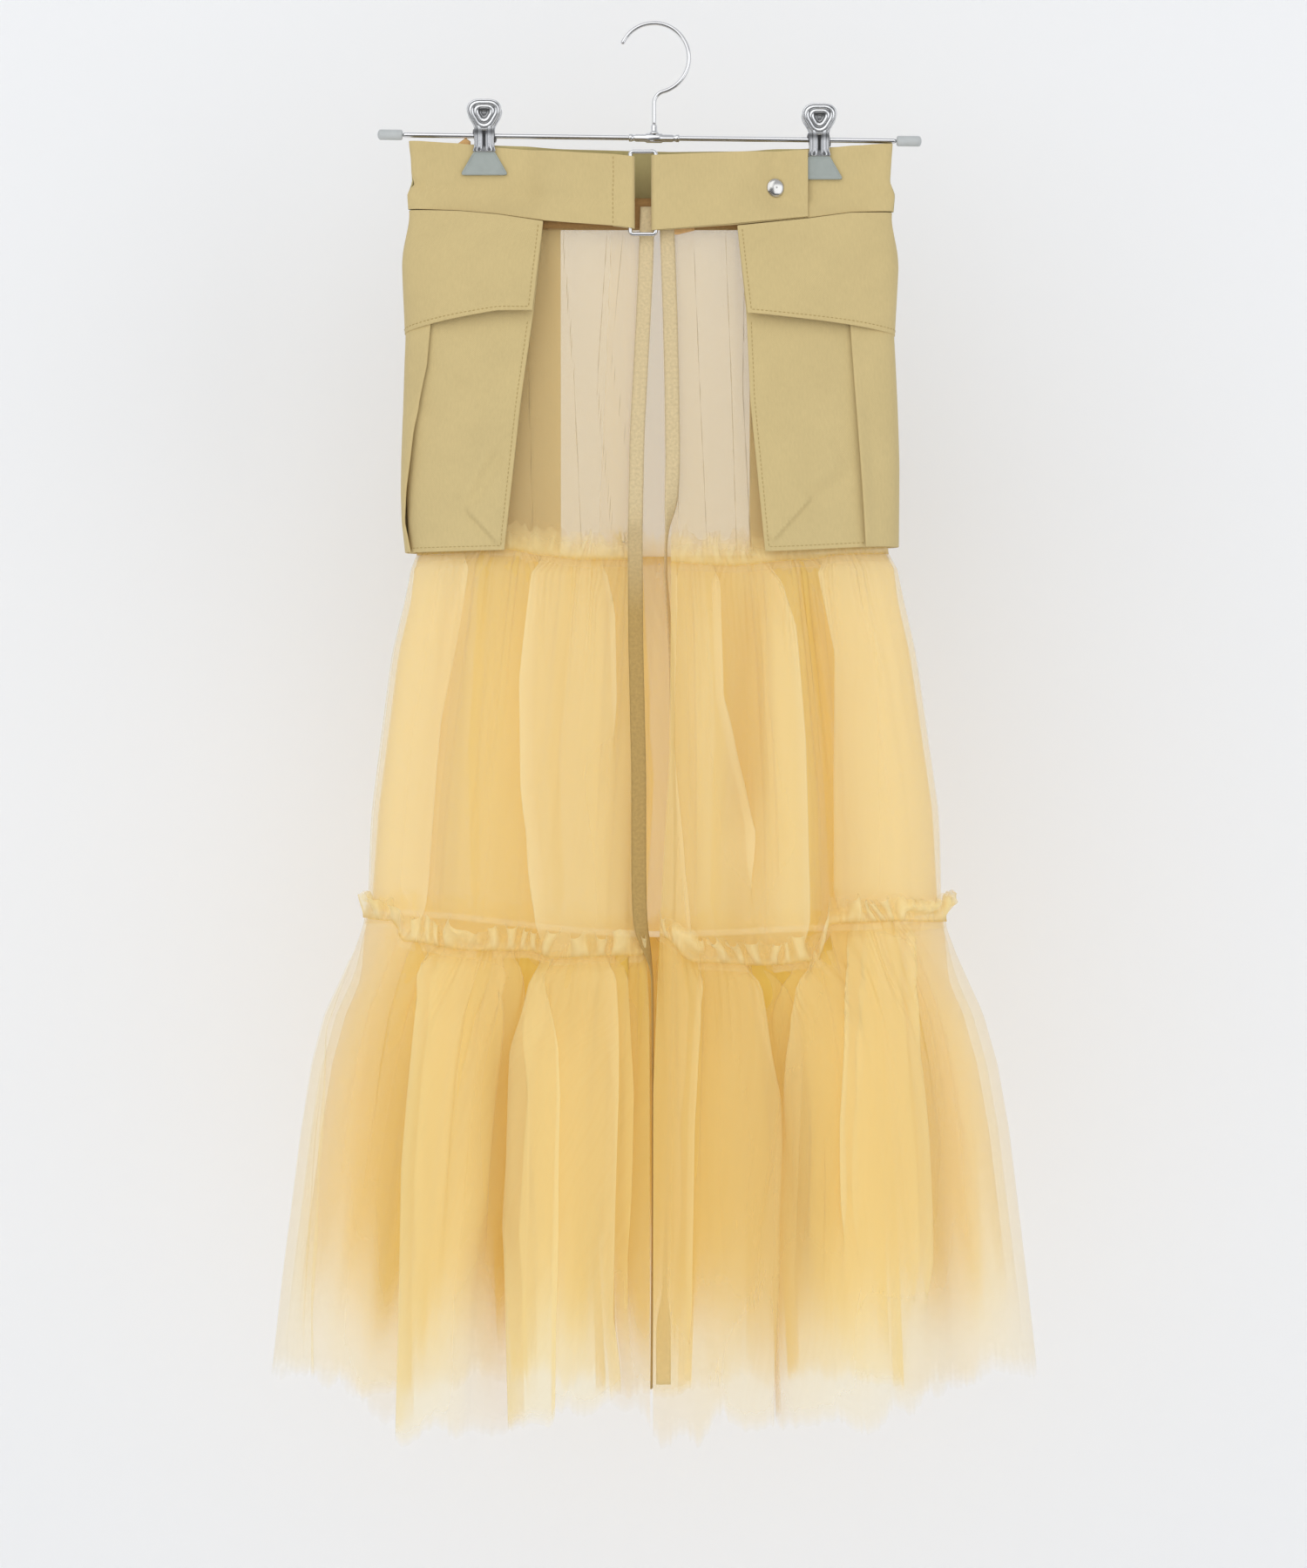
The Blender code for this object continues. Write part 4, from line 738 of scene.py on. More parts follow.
# the inner waistband's own golden brown, darkened with painted shade as it is seen between the bands
BROWN_AND_SHADED_TAPE = RibbonFinish((0.35, 0.19, 0.06), rib=0.0014, slot="tape")
LOOP_TAPE = RibbonFinish((0.70, 0.42, 0.17), slot="tape")
STEEL = MetalFinish((0.74, 0.74, 0.75), 0.14)
STAMPED = MetalFinish((0.88, 0.89, 0.91), 0.24, shades_grooves=True)
# a darker copy of the stamped steel, as painted shade on the clip's neck
SHADED_NECK_STEEL = MetalFinish((0.70, 0.71, 0.73), 0.24, shades_grooves=True)
DARK_STEEL = MetalFinish((0.16, 0.16, 0.17), 0.35)
SNAP_STEEL = MetalFinish((0.66, 0.65, 0.63), 0.18)
PAD_VINYL = PlasticFinish((0.34, 0.375, 0.352), 0.42)
CAP_RUBBER = PlasticFinish((0.50, 0.52, 0.52), 0.55, slot="grey_rubber")


class Workshop:
    """Dresses, places and logs each finished piece."""

    def __init__(self) -> None:
        """Builds the shared effects once."""
        self.effects = {"weave": weave_group(), "net": net_group()}
        self.triangles = 0

    def dress(self, piece: bpy.types.Object, finish: object, *stands_for: str) -> bpy.types.Object:
        """Gives a piece its material and body, and hides the CAD nodes it stands for.

        Args:
            piece: the finished piece.
            finish: one of the finishes.
            stands_for: names of the CAD nodes it replaces.

        Returns:
            The piece.
        """
        piece.data.materials.clear()
        piece.data.materials.append(finish.material(piece.name, self.effects))
        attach(piece, "root")
        if stands_for:
            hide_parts(*stands_for)
        faces = sum(len(face.vertices) - 2 for face in piece.data.polygons)
        self.triangles += faces
        LOG.info("%s: %d triangles", piece.name, faces)
        return piece

    def sheet(self, name: str, points: Array, finish: object,
              stands_for: Sequence[str] = (), wall: float = 0.0,
              rim: float = 0.0, loop: bool = False, marks: dict[str, Array] | None = None) -> None:
        """Makes a sheet of cloth from its grid, dressed, and logs its flat cut.

        Args:
            name: name of the piece.
            points: the grid of its middle surface.
            finish: one of the finishes.
            stands_for: names of the CAD nodes it replaces.
            wall: its thickness; net has none, and lets the light go on through it.
            rim: how far the wall's rim is rounded.
            loop: whether the last column joins the first.
            marks: named numbers at the grid's points.
        """
        piece = grid_mesh(name, points, loop, marks)
        if wall:
            thicken(piece, wall, rim)
        else:
            piece.visible_shadow = False
        self.dress(piece, finish, *stands_for)
        if loop:
            points = np.concatenate([points, points[:, :1]], axis=1)
        self.declare(piece, points)

    def declare(self, piece: bpy.types.Object, points: Array) -> None:
        """Logs a sheet's flat cut, measured along the grid it was made on.

        The cut's width is its longest row, its length its longest column, and its area the sum of
        the grid's cells.

        Args:
            piece: the sheet.
            points: the grid of its middle surface.
        """
        run = cloth_run(points)
        width, length = float(run[:, -1, 0].max()), float(run[-1, :, 1].max())
        right, down = np.diff(points, axis=1)[:-1], np.diff(points, axis=0)[:, :-1]
        area = float(np.linalg.norm(np.cross(right, down), axis=-1).sum())
        area = min(max(area, 0.31 * width * length), width * length)
        LOG.info("  %s is cut %.3f x %.3f m, %.4f m2", piece.name, width, length, area)


# ---------------------------------------------------------------- net
@dataclass(frozen=True)
class Gathers:
    """A run of small folds across a net, whose crests lean over so that the cloth laps itself.

    Across a fold of phase p the cloth goes out by out*cos(p) and sideways by lap*sin(2p).
    """

    count: float  # folds in a unit of girth
    out: float
    lap: float  # in units of girth
    fade_in: float  # share of the way down over which they come
    fade_out: float  # share of the way down where they have gone
    seed: int

    def apply(self, girth: Array, down: Array) -> tuple[Array, Array]:
        """Their sideways and outward moves.

        Args:
            girth: place across.
            down: share of the way down the net.

        Returns:
            The move in girth, and the move out in metres.
        """
        fade = smooth_step((self.fade_out - down) / max(self.fade_out, 0.05))
        if self.fade_in > 0:
            fade = fade * smooth_step(down / self.fade_in)
        wander = 0.42 * uneven(girth, down, self.seed, fine=self.count * 0.22, tall=0.5)
        phase = 2.0 * math.pi * (self.count * girth + wander)
        height = np.clip(0.75 + 0.75 * uneven(girth, down, self.seed + 1, fine=self.count * 0.3,
                                              tall=0.7), 0.05, 1.8)
        return self.lap * fade * height * np.sin(2.0 * phase), self.out * fade * height * np.cos(phase)


@dataclass(frozen=True)
class Fold:
    """A long fold where the cloth laps itself: one side lies in front of the other at its edge.

    With s the distance from the edge over the fold's half width, the cloth moves sideways by
    -lap*s*exp((1-s^2)/2) and the side in front stands off by lift*tanh(2s)*exp(-(s/4)^2).
    """

    path: tuple[tuple[float, float], ...]  # z and x of the edge, top to bottom
    lap: float
    lift: float
    front: Side  # the side that lies in front
    fade: float = 0.0  # z at which it has gone, 0 where it runs to the hem
    back: bool = False

    def apply(self, tube: Tube, girth: Array, z: Array, down: Array) -> tuple[Array, Array, Array]:
        """Its sideways and outward moves.

        Args:
            tube: the tube that the net hangs on.
            girth: place across.
            z: height.
            down: share of the way down the net.

        Returns:
            The move in girth, the move out in metres, and the lobe: towards 1 on the side in front
            of the edge and towards -1 behind it, fading off over a few centimetres.
        """
        rows = sorted(self.path)
        x = np.interp(z, [row[0] for row in rows], [row[1] for row in rows])
        edge = tube.girth_at(z, x, self.back)
        quarter = 1.07 * tube.sizes(z)[0]
        lap = 0.85 * self.lap / quarter
        away = wrapped(girth - edge)
        share = away / (0.72 * lap)
        strength = smooth_step(down / 0.06 + 0.12)
        if self.fade:
            strength = strength * smooth_step((z - self.fade) / 0.06)
        hump = np.exp(-((share / 4.0) ** 2))
        side = self.front.sign * (-1.0 if self.back else 1.0)
        sideways = -lap * share * np.exp((1.0 - share**2) / 2.0) * strength
        depth = min(self.lift / 0.006, 1.0)
        lobe = depth * side * np.tanh(5.0 * share) * bell(away * quarter, 0.034) * strength
        return sideways, 0.6 * self.lift * side * np.tanh(2.0 * share) * hump * strength, lobe


MIDDLE_FOLDS = (
    Fold(((-0.370, -0.130), (-0.480, -0.151), (-0.640, -0.163)), 0.010, 0.004, Side.LEFT),
    Fold(((-0.367, -0.0790), (-0.451, -0.0882), (-0.523, -0.0870), (-0.613, -0.0780)),
         0.013, 0.005, Side.RIGHT),
    Fold(((-0.367, -0.0370), (-0.403, -0.0294), (-0.460, -0.0280)), 0.006, 0.002, Side.LEFT, -0.52),
    Fold(((-0.403, 0.0150), (-0.493, 0.0130), (-0.583, 0.0190), (-0.631, 0.0240)),
         0.005, 0.002, Side.LEFT),
    Fold(((-0.367, 0.0408), (-0.463, 0.0438), (-0.553, 0.0648)), 0.009, 0.003, Side.LEFT, -0.62),
    Fold(((-0.367, 0.0768), (-0.415, 0.0918), (-0.493, 0.0978), (-0.613, 0.1008)),
         0.012, 0.005, Side.LEFT),
    Fold(((-0.367, 0.1128), (-0.433, 0.1260), (-0.613, 0.1260)), 0.012, 0.005, Side.RIGHT),
    Fold(((-0.370, -0.118), (-0.500, -0.126), (-0.640, -0.124)), 0.010, 0.004, Side.RIGHT, back=True),
    Fold(((-0.370, -0.058), (-0.500, -0.071), (-0.640, -0.066)), 0.012, 0.005, Side.LEFT, back=True),
    Fold(((-0.370, -0.012), (-0.520, -0.004), (-0.640, -0.010)), 0.008, 0.004, Side.LEFT, back=True),
    Fold(((-0.370, 0.038), (-0.470, 0.046), (-0.640, 0.041)), 0.013, 0.005, Side.RIGHT, back=True),
    Fold(((-0.370, 0.102), (-0.480, 0.118), (-0.640, 0.126)), 0.010, 0.004, Side.RIGHT, back=True),
)
BOTTOM_FOLDS = (
    Fold(((-0.640, -0.2060), (-0.691, -0.2244), (-0.883, -0.2346)), 0.006, 0.002, Side.LEFT),
    Fold(((-0.643, -0.1554), (-0.781, -0.1662), (-0.967, -0.1692)), 0.014, 0.006, Side.RIGHT),
    Fold(((-0.643, -0.0972), (-0.733, -0.1020), (-0.780, -0.1062)), 0.010, 0.004, Side.LEFT, -0.86),
    Fold(((-0.643, -0.0780), (-0.703, -0.0912), (-0.823, -0.0972), (-0.967, -0.0936)),
         0.016, 0.007, Side.RIGHT),
    Fold(((-0.643, -0.0660), (-0.733, -0.0640), (-0.883, -0.0672)), 0.006, 0.002, Side.LEFT),
    Fold(((-0.643, -0.0312), (-0.733, -0.0282), (-0.883, -0.0318), (-0.937, -0.0264)),
         0.012, 0.005, Side.LEFT),
    Fold(((-0.643, 0.0312), (-0.752, 0.0246), (-0.852, 0.0228)), 0.007, 0.003, Side.LEFT, -0.93),
    Fold(((-0.643, 0.0648), (-0.733, 0.0750), (-0.823, 0.0720), (-0.943, 0.0705)),
         0.014, 0.006, Side.LEFT),
    Fold(((-0.619, 0.1098), (-0.679, 0.0978), (-0.763, 0.0906), (-0.853, 0.0870), (-0.961, 0.0888)),
         0.018, 0.008, Side.RIGHT),
    Fold(((-0.631, 0.1338), (-0.751, 0.1260)), 0.007, 0.003, Side.RIGHT, -0.86),
    Fold(((-0.643, 0.1728), (-0.793, 0.1836)), 0.010, 0.004, Side.LEFT, -0.90),
    Fold(((-0.640, -0.150), (-0.800, -0.172), (-0.960, -0.176)), 0.014, 0.006, Side.LEFT, back=True),
    Fold(((-0.640, -0.084), (-0.800, -0.101), (-0.960, -0.094)), 0.016, 0.007, Side.RIGHT, back=True),
    Fold(((-0.640, -0.036), (-0.800, -0.044), (-0.960, -0.038)), 0.010, 0.004, Side.LEFT, back=True),
    Fold(((-0.640, 0.016), (-0.800, 0.024), (-0.960, 0.020)), 0.015, 0.006, Side.LEFT, back=True),
    Fold(((-0.640, 0.078), (-0.800, 0.090), (-0.960, 0.098)), 0.013, 0.006, Side.RIGHT, back=True),
    Fold(((-0.640, 0.148), (-0.800, 0.164), (-0.960, 0.170)), 0.012, 0.005, Side.LEFT, back=True),
)
YOKE_FOLDS = (
    Fold(((-0.141, -0.0640), (-0.240, -0.0560), (-0.370, -0.0500)), 0.0030, 0.001, Side.LEFT),
    Fold(((-0.141, -0.0330), (-0.250, -0.0400), (-0.370, -0.0270)), 0.0028, 0.001, Side.RIGHT),
    Fold(((-0.141, -0.0220), (-0.230, -0.0300), (-0.300, -0.0180)), 0.0024, 0.001, Side.LEFT, -0.33),
    Fold(((-0.141, 0.0260), (-0.260, 0.0310), (-0.370, 0.0360)), 0.0026, 0.001, Side.LEFT),
    Fold(((-0.141, 0.0480), (-0.240, 0.0520), (-0.370, 0.0560)), 0.0030, 0.001, Side.RIGHT),
    Fold(((-0.141, 0.0620), (-0.250, 0.0600), (-0.370, 0.0660)), 0.0026, 0.001, Side.LEFT),
    Fold(((-0.141, -0.0900), (-0.370, -0.0840)), 0.0030, 0.001, Side.LEFT, back=True),
    Fold(((-0.141, -0.0300), (-0.370, -0.0400)), 0.0026, 0.001, Side.RIGHT, back=True),
    Fold(((-0.141, 0.0120), (-0.370, 0.0170)), 0.0028, 0.001, Side.LEFT, back=True),
    Fold(((-0.141, 0.0700), (-0.370, 0.0640)), 0.0030, 0.001, Side.RIGHT, back=True),
)


def part_edges(part: Part, z: Array) -> tuple[Array, Array]:
    """The girth of a part's first and last edge at each height."""
    side_gap = 0.0006 * SKIRT.flatness / SKIRT.sizes(z)[2]
    rows = np.array(OPENING)
    edges = [np.interp(z, rows[:, 0], rows[:, column]) for column in (1, 2)]
    if part is Part.LEFT:
        return -1.0 + side_gap, SKIRT.girth_at(z, edges[0])
    if part is Part.RIGHT:
        return SKIRT.girth_at(z, edges[1]), 1.0 - side_gap
    return 1.0 + side_gap, 3.0 - side_gap


@dataclass(frozen=True)
class Net:
    """One layer of a tier: its upper and lower line, how far out it hangs, its folds and gathers."""

    name: str
    top: Line
    bottom: Line
    out: Callable[[Array, Array, Array], Array]  # of girth, z and share of the way down
    folds: tuple[Fold, ...]
    gathers: tuple[Gathers, ...]
    rows: int
    columns: int  # of a front part; the back has more
    ragged: float = 0.0  # how uneven its lower edge is
    thins: float = 0.0  # the length over which it thins out above its lower edge
    thinnest: float = 0.0  # share of its cover that is left there
    fringe: float = 0.0  # the length over which its very edge fades away
    depth: float = 0.020  # the relief that takes its painted tone from middling to light
    fold_shift: float = 0.0  # how far aside its folds lie of the outer layer's
    lobed: float = 0.0  # how much denser it is on a fold's front side than behind it
    folded: float = 1.0  # share of its folds' depth
    foot: float = 0.0  # share of its length over which its folds flatten into a lower seam
    side_thins: float = 0.42  # share of its cover that goes where it turns edge-on
    seed: int = 1

    def grid(self, part: Part) -> tuple[Array, dict[str, Array]]:
        """The layer's points: its cloth laid evenly from edge to edge, then folded and gathered.

        Returns:
            The points, and the marks `tone`, 0 in a trough and 1 on a ridge, which paints shade and light,
            and `cover`.
        """
        columns = int(self.columns * (BACK_COLUMNS if part is Part.BACK else 1.0))
        across = np.linspace(0.0, 1.0, columns)[None, :]
        down = np.linspace(0.0, 1.0, self.rows)[:, None]
        z = self.top(np.zeros((1, columns))) + 0.0 * down
        for _ in range(5):  # the edges lean, so girth and height settle together
            first, last = part_edges(part, z)
            girth = first + (last - first) * across
            jags = uneven(girth, 0.0, self.seed, fine=7.0) + 0.7 * np.abs(
                uneven(girth, 0.0, self.seed + 20, fine=26.0))
            ends = self.bottom(girth) + self.ragged * jags
            z = self.top(girth) + (ends - self.top(girth)) * down
        push, shift, lobes = relief(girth, z), np.zeros_like(girth), np.zeros_like(girth)
        held = smooth_step((1.0 - down) / self.foot) if self.foot else 1.0
        for index, fold in enumerate(self.folds):
            if fold.back == (part is Part.BACK):
                aside = self.fold_shift * (1.0 if index % 2 else -1.0)
                fold = replace(fold, path=tuple((height, x + aside) for height, x in fold.path),
                               lap=fold.lap * self.folded, lift=fold.lift * self.folded)
                sideways, outwards, lobe = fold.apply(SKIRT, girth, z, down)
                shift, push = shift + sideways * held, push + outwards * held
                lobes = lobes + lobe * held
        turn = np.abs(wrapped(girth)) - 1.0
        edge_on, side = bell(turn, 0.27), bell(turn, 0.42)
        # tone: painted shade in the troughs that relief and folds push in, partly bunched net; painted
        # light on ridges, on each fold's front side, and on the tube's sides, where the faces turn from
        # the lamps
        tone = 0.58 + push / self.depth * (1.0 - 0.85 * side) + 0.16 * lobes + 0.40 * side
        # darker in its top 4 mm: partly the bunched net of the seam, partly painted shade under the ruffle
        # or band
        tone = np.clip(tone, 0.0, 1.0) * (0.55 + 0.45 * smooth_step((self.top(girth) - z) / 0.004))
        cover = np.clip(0.85 + self.lobed * lobes, 0.30, 1.5) * (1.0 - self.side_thins * edge_on)
        cover = cover * (1.25 if part is Part.BACK else 1.0)
        if self.fringe:
            cover = cover * (0.12 + 0.88 * smooth_step((z - ends) / self.fringe))
        if self.thins:
            reach = self.thins * (1.0 + 0.35 * uneven(girth, 0.0, self.seed + 9, fine=6.0))
            kept = smooth_step((z - ends) / reach)
            cover = cover * (self.thinnest + (1.0 - self.thinnest) * kept)
        out = self.out(girth, z, down) + push
        inside = smooth_step(np.minimum(across, 1.0 - across) * (last - first) / 0.05)
        for gather in self.gathers:
            sideways, outwards = gather.apply(girth, down + 0.0 * girth)
            smooth = 1.0 - 0.85 * bell(turn, 0.13)  # edge-on, small folds would streak the outline
            shift, out = shift + sideways * smooth, out + outwards * smooth
        return SKIRT.place(girth + shift * inside, z, out), {"tone": tone, "cover": cover}

    def build(self, shop: Workshop, part: Part, finish: NetFinish, stands_for: Sequence[str],
              hangs_from: Sequence[str], held: Held = Held.GATHERED) -> None:
        """Makes one part of the layer."""
        points, marks = self.grid(part)
        shop.sheet(f"{self.name}_layer_{part.value}", points, finish, stands_for,
                   marks=marks)


@dataclass(frozen=True)
class Ruffle:
    """The gathered cloth's own top edge above a seam: it flares out and crinkles.

    At a share r of its height it stands out by flare*r^1.3, waves in and out by wave*r and leans
    sideways by lean*r, each by an uneven field along the seam.
    """

    name: str
    seam: Line
    height: float
    flare: float
    wave: float
    count: float
    seed: int
    pressed: bool  # held flat under the pocket panels
    fades: float  # share of its cover that goes towards its upper edge
    rows: int = 10
    columns: int = 520

    def grid(self, part: Part) -> tuple[Array, dict[str, Array]]:
        """The ruffle's points and marks."""
        columns = int(self.columns * (BACK_COLUMNS if part is Part.BACK else 1.0))
        across = np.linspace(0.0, 1.0, columns)[None, :]
        rise = np.linspace(1.0, 0.0, self.rows)[:, None]
        z = self.seam(np.zeros((1, columns))) + 0.0 * rise
        for _ in range(4):
            first, last = part_edges(part, z)
            girth = first + (last - first) * across
            z = self.seam(girth)
        count, seed = self.count, self.seed
        tall = self.height * (1.0 + 0.20 * uneven(girth, 0.0, seed, fine=count * 0.30)
                              + 0.10 * uneven(girth, 0.0, seed + 5, fine=count))
        phase = 2.0 * math.pi * (count * girth + 0.6 * uneven(girth, rise, seed + 1, fine=count * 0.20,
                                                             tall=0.4))
        size = np.clip(0.9 + 0.7 * uneven(girth, 0.0, seed + 2, fine=count * 0.30), 0.2, 1.6)
        turn = np.abs(wrapped(girth))
        free = 1.0
        if self.pressed:
            flat = smooth_step((turn - 0.38) / 0.08) * smooth_step((1.70 - turn) / 0.08)
            free = 1.0 - 0.88 * flat
        crimp = 0.12 * self.wave * np.cos(2.0 * math.pi * (
            count * 2.3 * girth + 0.3 * uneven(girth, 0.0, seed + 6, fine=count * 0.5)))
        curl = self.wave * size * np.sin(math.pi * np.clip(rise * 0.62, 0.0, 1.0))
        out = 0.0017 + relief(girth, z) + crimp + free * (
            self.flare * rise**1.2 * (0.80 + 0.45 * uneven(girth, 0.0, seed + 3, fine=5.0))
            + curl * np.cos(phase))
        shift = rise * 0.11 / count * free * size * np.sin(2.0 * phase)
        shift += 0.30 / count * rise * uneven(girth, 0.0, seed + 4, fine=count * 0.25)
        inside = smooth_step(np.minimum(across, 1.0 - across) * (last - first) / 0.03)
        droop = 1.0 - 0.22 * size * rise * np.clip(np.cos(phase), 0.0, 1.0) * free
        lifted = z + tall * rise * droop - 0.0012 * (1.0 - rise)
        crest = self.wave / 0.0052 * np.cos(phase)
        # its tone is painted light where it curls out and towards its upper edge, and painted shade where
        # it curls in and at its foot on the seam
        folds = 0.62 + 0.34 * crest * smooth_step(rise * 2.5)
        tone = np.clip(folds * smooth_step((rise + 0.04) / 0.22) + 0.30 * rise, 0.0, 1.0)
        cover = 1.30 - self.fades * rise + 0.25 * crest * smooth_step(rise * 3.0)
        return SKIRT.place(girth + shift * inside, lifted, out), {"tone": tone, "cover": cover}

    def build(self, shop: Workshop, part: Part, hangs_from: Sequence[str]) -> None:
        """Makes one part of the ruffle."""
        points, marks = self.grid(part)
        shop.sheet(f"{self.name}_ruffle_{part.value}", points, RUFFLE_NET,
                   [f"{self.name}_{part.value}"], marks=marks)


@dataclass(frozen=True)
class Skirt:
    """The three tiers of net and their ruffles, which hang from the inner waistband."""

    step: float = 0.0015  # an outer layer's distance from the layer above it

    def second_hem(self, girth: Array) -> Array:
        """The second layer's lower edge."""
        return HEM(girth) + 0.012 + 0.010 * uneven(girth, 0.0, 41, fine=2.4)

    def inner_hem(self, girth: Array) -> Array:
        """The inner layer's lower edge."""
        return HEM(girth) + 0.036 + 0.012 * uneven(girth, 0.0, 42, fine=2.0)

    def sides(self, girth: Array) -> Array:
        """1 at the tube's two sides, falling off towards the front and back."""
        turn = np.abs(wrapped(girth))
        return bell(turn - 1.0, 0.16)

    def build(self, shop: Workshop) -> None:
        """Makes every layer of every tier."""
        small = Gathers(34.0, 0.0010, 0.0016, 0.0, 0.34, 11)
        broad = Gathers(9.0, 0.0009, 0.0034, 0.20, 1.7, 13)
        lower_small = Gathers(30.0, 0.0012, 0.0018, 0.0, 0.30, 21)
        lower_broad = Gathers(8.0, 0.0014, 0.0046, 0.12, 1.8, 23)
        yoke = Net("yoke", level(WAIST_Z), moved(UPPER_SEAM, -0.006), lambda g, z, d: 0.0 * z,
                   YOKE_FOLDS, (Gathers(30.0, 0.0003, 0.0010, 0.0, 0.25, 31),
                                Gathers(7.0, 0.0006, 0.0, 0.1, 1.6, 32)), 24, 210, depth=0.006,
                   folded=0.34, lobed=0.9)
        middle = Net("middle_tier", UPPER_SEAM, moved(LOWER_SEAM, -0.006),
                     lambda g, z, d: self.step * smooth_step((z - LOWER_SEAM(g) - 0.013) / 0.05),
                     MIDDLE_FOLDS, (small, broad), 44, 400, lobed=0.30, foot=0.12, side_thins=0.12,
                     seed=3)
        middle_under = Net(
            "middle_under", moved(UPPER_SEAM, -0.0004), moved(LOWER_SEAM, 0.004),
            lambda g, z, d: -0.0006 - smooth_step((d - 0.02) * 7.0) * (0.0032 - 0.001 * self.sides(g)),
            (), (Gathers(13.0, 0.0008, 0.0040, 0.0, 1.8, 15),), 24, 220, side_thins=0.30, seed=4)
        bottom = Net("bottom_tier", LOWER_SEAM, HEM, lambda g, z, d: self.step + 0.0 * z,
                     BOTTOM_FOLDS, (lower_small, lower_broad), 52, 450, ragged=0.0048,
                     thins=0.040, thinnest=0.92, fringe=0.010, depth=0.026, lobed=0.34, seed=5)
        bottom_second = Net(
            "bottom_second", moved(LOWER_SEAM, -0.0004), self.second_hem,
            lambda g, z, d: -0.0006 - smooth_step((d - 0.02) * 7.0) * (0.0022 + 0.003 * self.sides(g)),
            BOTTOM_FOLDS, (Gathers(11.0, 0.0014, 0.0060, 0.0, 1.8, 25),), 36, 320, ragged=0.004,
            thins=0.075, depth=0.026, fold_shift=0.009, lobed=0.36, side_thins=0.55, seed=6)
        bottom_under = Net(
            "bottom_under", moved(LOWER_SEAM, -0.0004), self.inner_hem,
            lambda g, z, d: -0.0012 - smooth_step((d - 0.02) * 6.0) * (0.0050 + 0.006 * self.sides(g)),
            (), (Gathers(9.0, 0.0016, 0.0075, 0.0, 1.8, 27),), 26, 230, ragged=0.006,
            thins=0.100, depth=0.022, side_thins=0.74, seed=7)
        upper_ruffle = Ruffle("middle_heading", UPPER_SEAM, 0.0175, 0.0046, 0.0016, 16.0, 51,
                              pressed=True, fades=1.0)
        lower_ruffle = Ruffle("bottom_heading", LOWER_SEAM, 0.0162, 0.0072, 0.0050, 16.0, 61,
                              pressed=False, fades=0.6)
        for part in Part:
            here = part.value
            yoke.build(shop, part, YOKE_NET, [f"yoke_{here}"], ["inner_waistband_ring"], Held.HUNG)
            middle.build(shop, part, OUTER_NET, [f"middle_tier_{here}"], [f"yoke_layer_{here}"])
            middle_under.build(shop, part, INNER_NET, [f"middle_under_{here}"], [f"yoke_layer_{here}"])
            above = [f"middle_tier_layer_{here}"]
            bottom.build(shop, part, LOWER_NET, [f"bottom_tier_{here}"], above)
            bottom_second.build(shop, part, SECOND_NET, [], above)
            bottom_under.build(shop, part, LOWER_INNER_NET, [f"bottom_under_{here}"], above)
            upper_ruffle.build(shop, part, [f"yoke_layer_{here}"])
            lower_ruffle.build(shop, part, above)


# ---------------------------------------------------------------- belt
@dataclass(frozen=True)
class Clips:
    """Where the two clips squeeze the waist."""

    left: float = -0.1176
    right: float = 0.1128
    half: float = 0.026
    spread: float = 0.016
    top: float = -0.117
    floor: float = -0.140

    def squeeze(self, x: Array, z: Array) -> Array:
        """1 under a clip, fading to 0 around it and down the band."""
        beside = np.minimum(np.abs(x - self.left), np.abs(x - self.right))
        beside = np.maximum(beside - self.half, 0.0) / self.spread
        return np.exp(-(beside**2)) * smooth_step((z - self.floor) / (self.top - self.floor))


@dataclass(frozen=True)
class Wrinkle:
    """A soft trough or ridge on the belt's front, from one place to another."""

    start: tuple[float, float]  # x, z
    end: tuple[float, float]
    width: float
    out: float

    def push(self, x: Array, z: Array) -> Array:
        """How far it moves the cloth out: a bell across its line, eased off at both ends."""
        run = np.array(self.end) - np.array(self.start)
        length = float(np.hypot(*run))
        along = ((x - self.start[0]) * run[0] + (z - self.start[1]) * run[1]) / length
        away = ((x - self.start[0]) * run[1] - (z - self.start[1]) * run[0]) / length
        ease = 0.3 * length
        ends = smooth_step(along / ease + 0.5) * smooth_step((length - along) / ease + 0.5)
        return self.out * bell(away, self.width) * ends


def wrinkled(wrinkles: Sequence[Wrinkle], x: Array, z: Array) -> Array:
    """The sum of several wrinkles."""
    return sum((wrinkle.push(x, z) for wrinkle in wrinkles), np.zeros(np.broadcast(x, z).shape))


BAND_WRINKLES = (
    Wrinkle((-0.160, -0.086), (-0.152, -0.118), 0.0085, -0.0016),
    Wrinkle((-0.170, -0.1085), (-0.158, -0.1125), 0.0030, -0.0022),
    Wrinkle((-0.125, -0.118), (-0.123, -0.128), 0.0022, 0.0005),
    Wrinkle((-0.095, -0.100), (-0.060, -0.120), 0.0120, 0.0008),
    Wrinkle((-0.052, -0.092), (-0.040, -0.132), 0.0090, -0.0008),
    Wrinkle((0.129, -0.096), (0.147, -0.086), 0.0035, -0.0010),
    Wrinkle((0.132, -0.108), (0.150, -0.098), 0.0060, 0.0008),
    Wrinkle((0.151, -0.1165), (0.163, -0.1155), 0.0022, -0.0014),
)
STRAP_WRINKLES = (
    Wrinkle((0.008, -0.095), (0.036, -0.106), 0.0080, -0.0012),
    Wrinkle((0.030, -0.128), (0.060, -0.104), 0.0100, 0.0012),
    Wrinkle((0.050, -0.096), (0.074, -0.118), 0.0060, -0.0008),
)
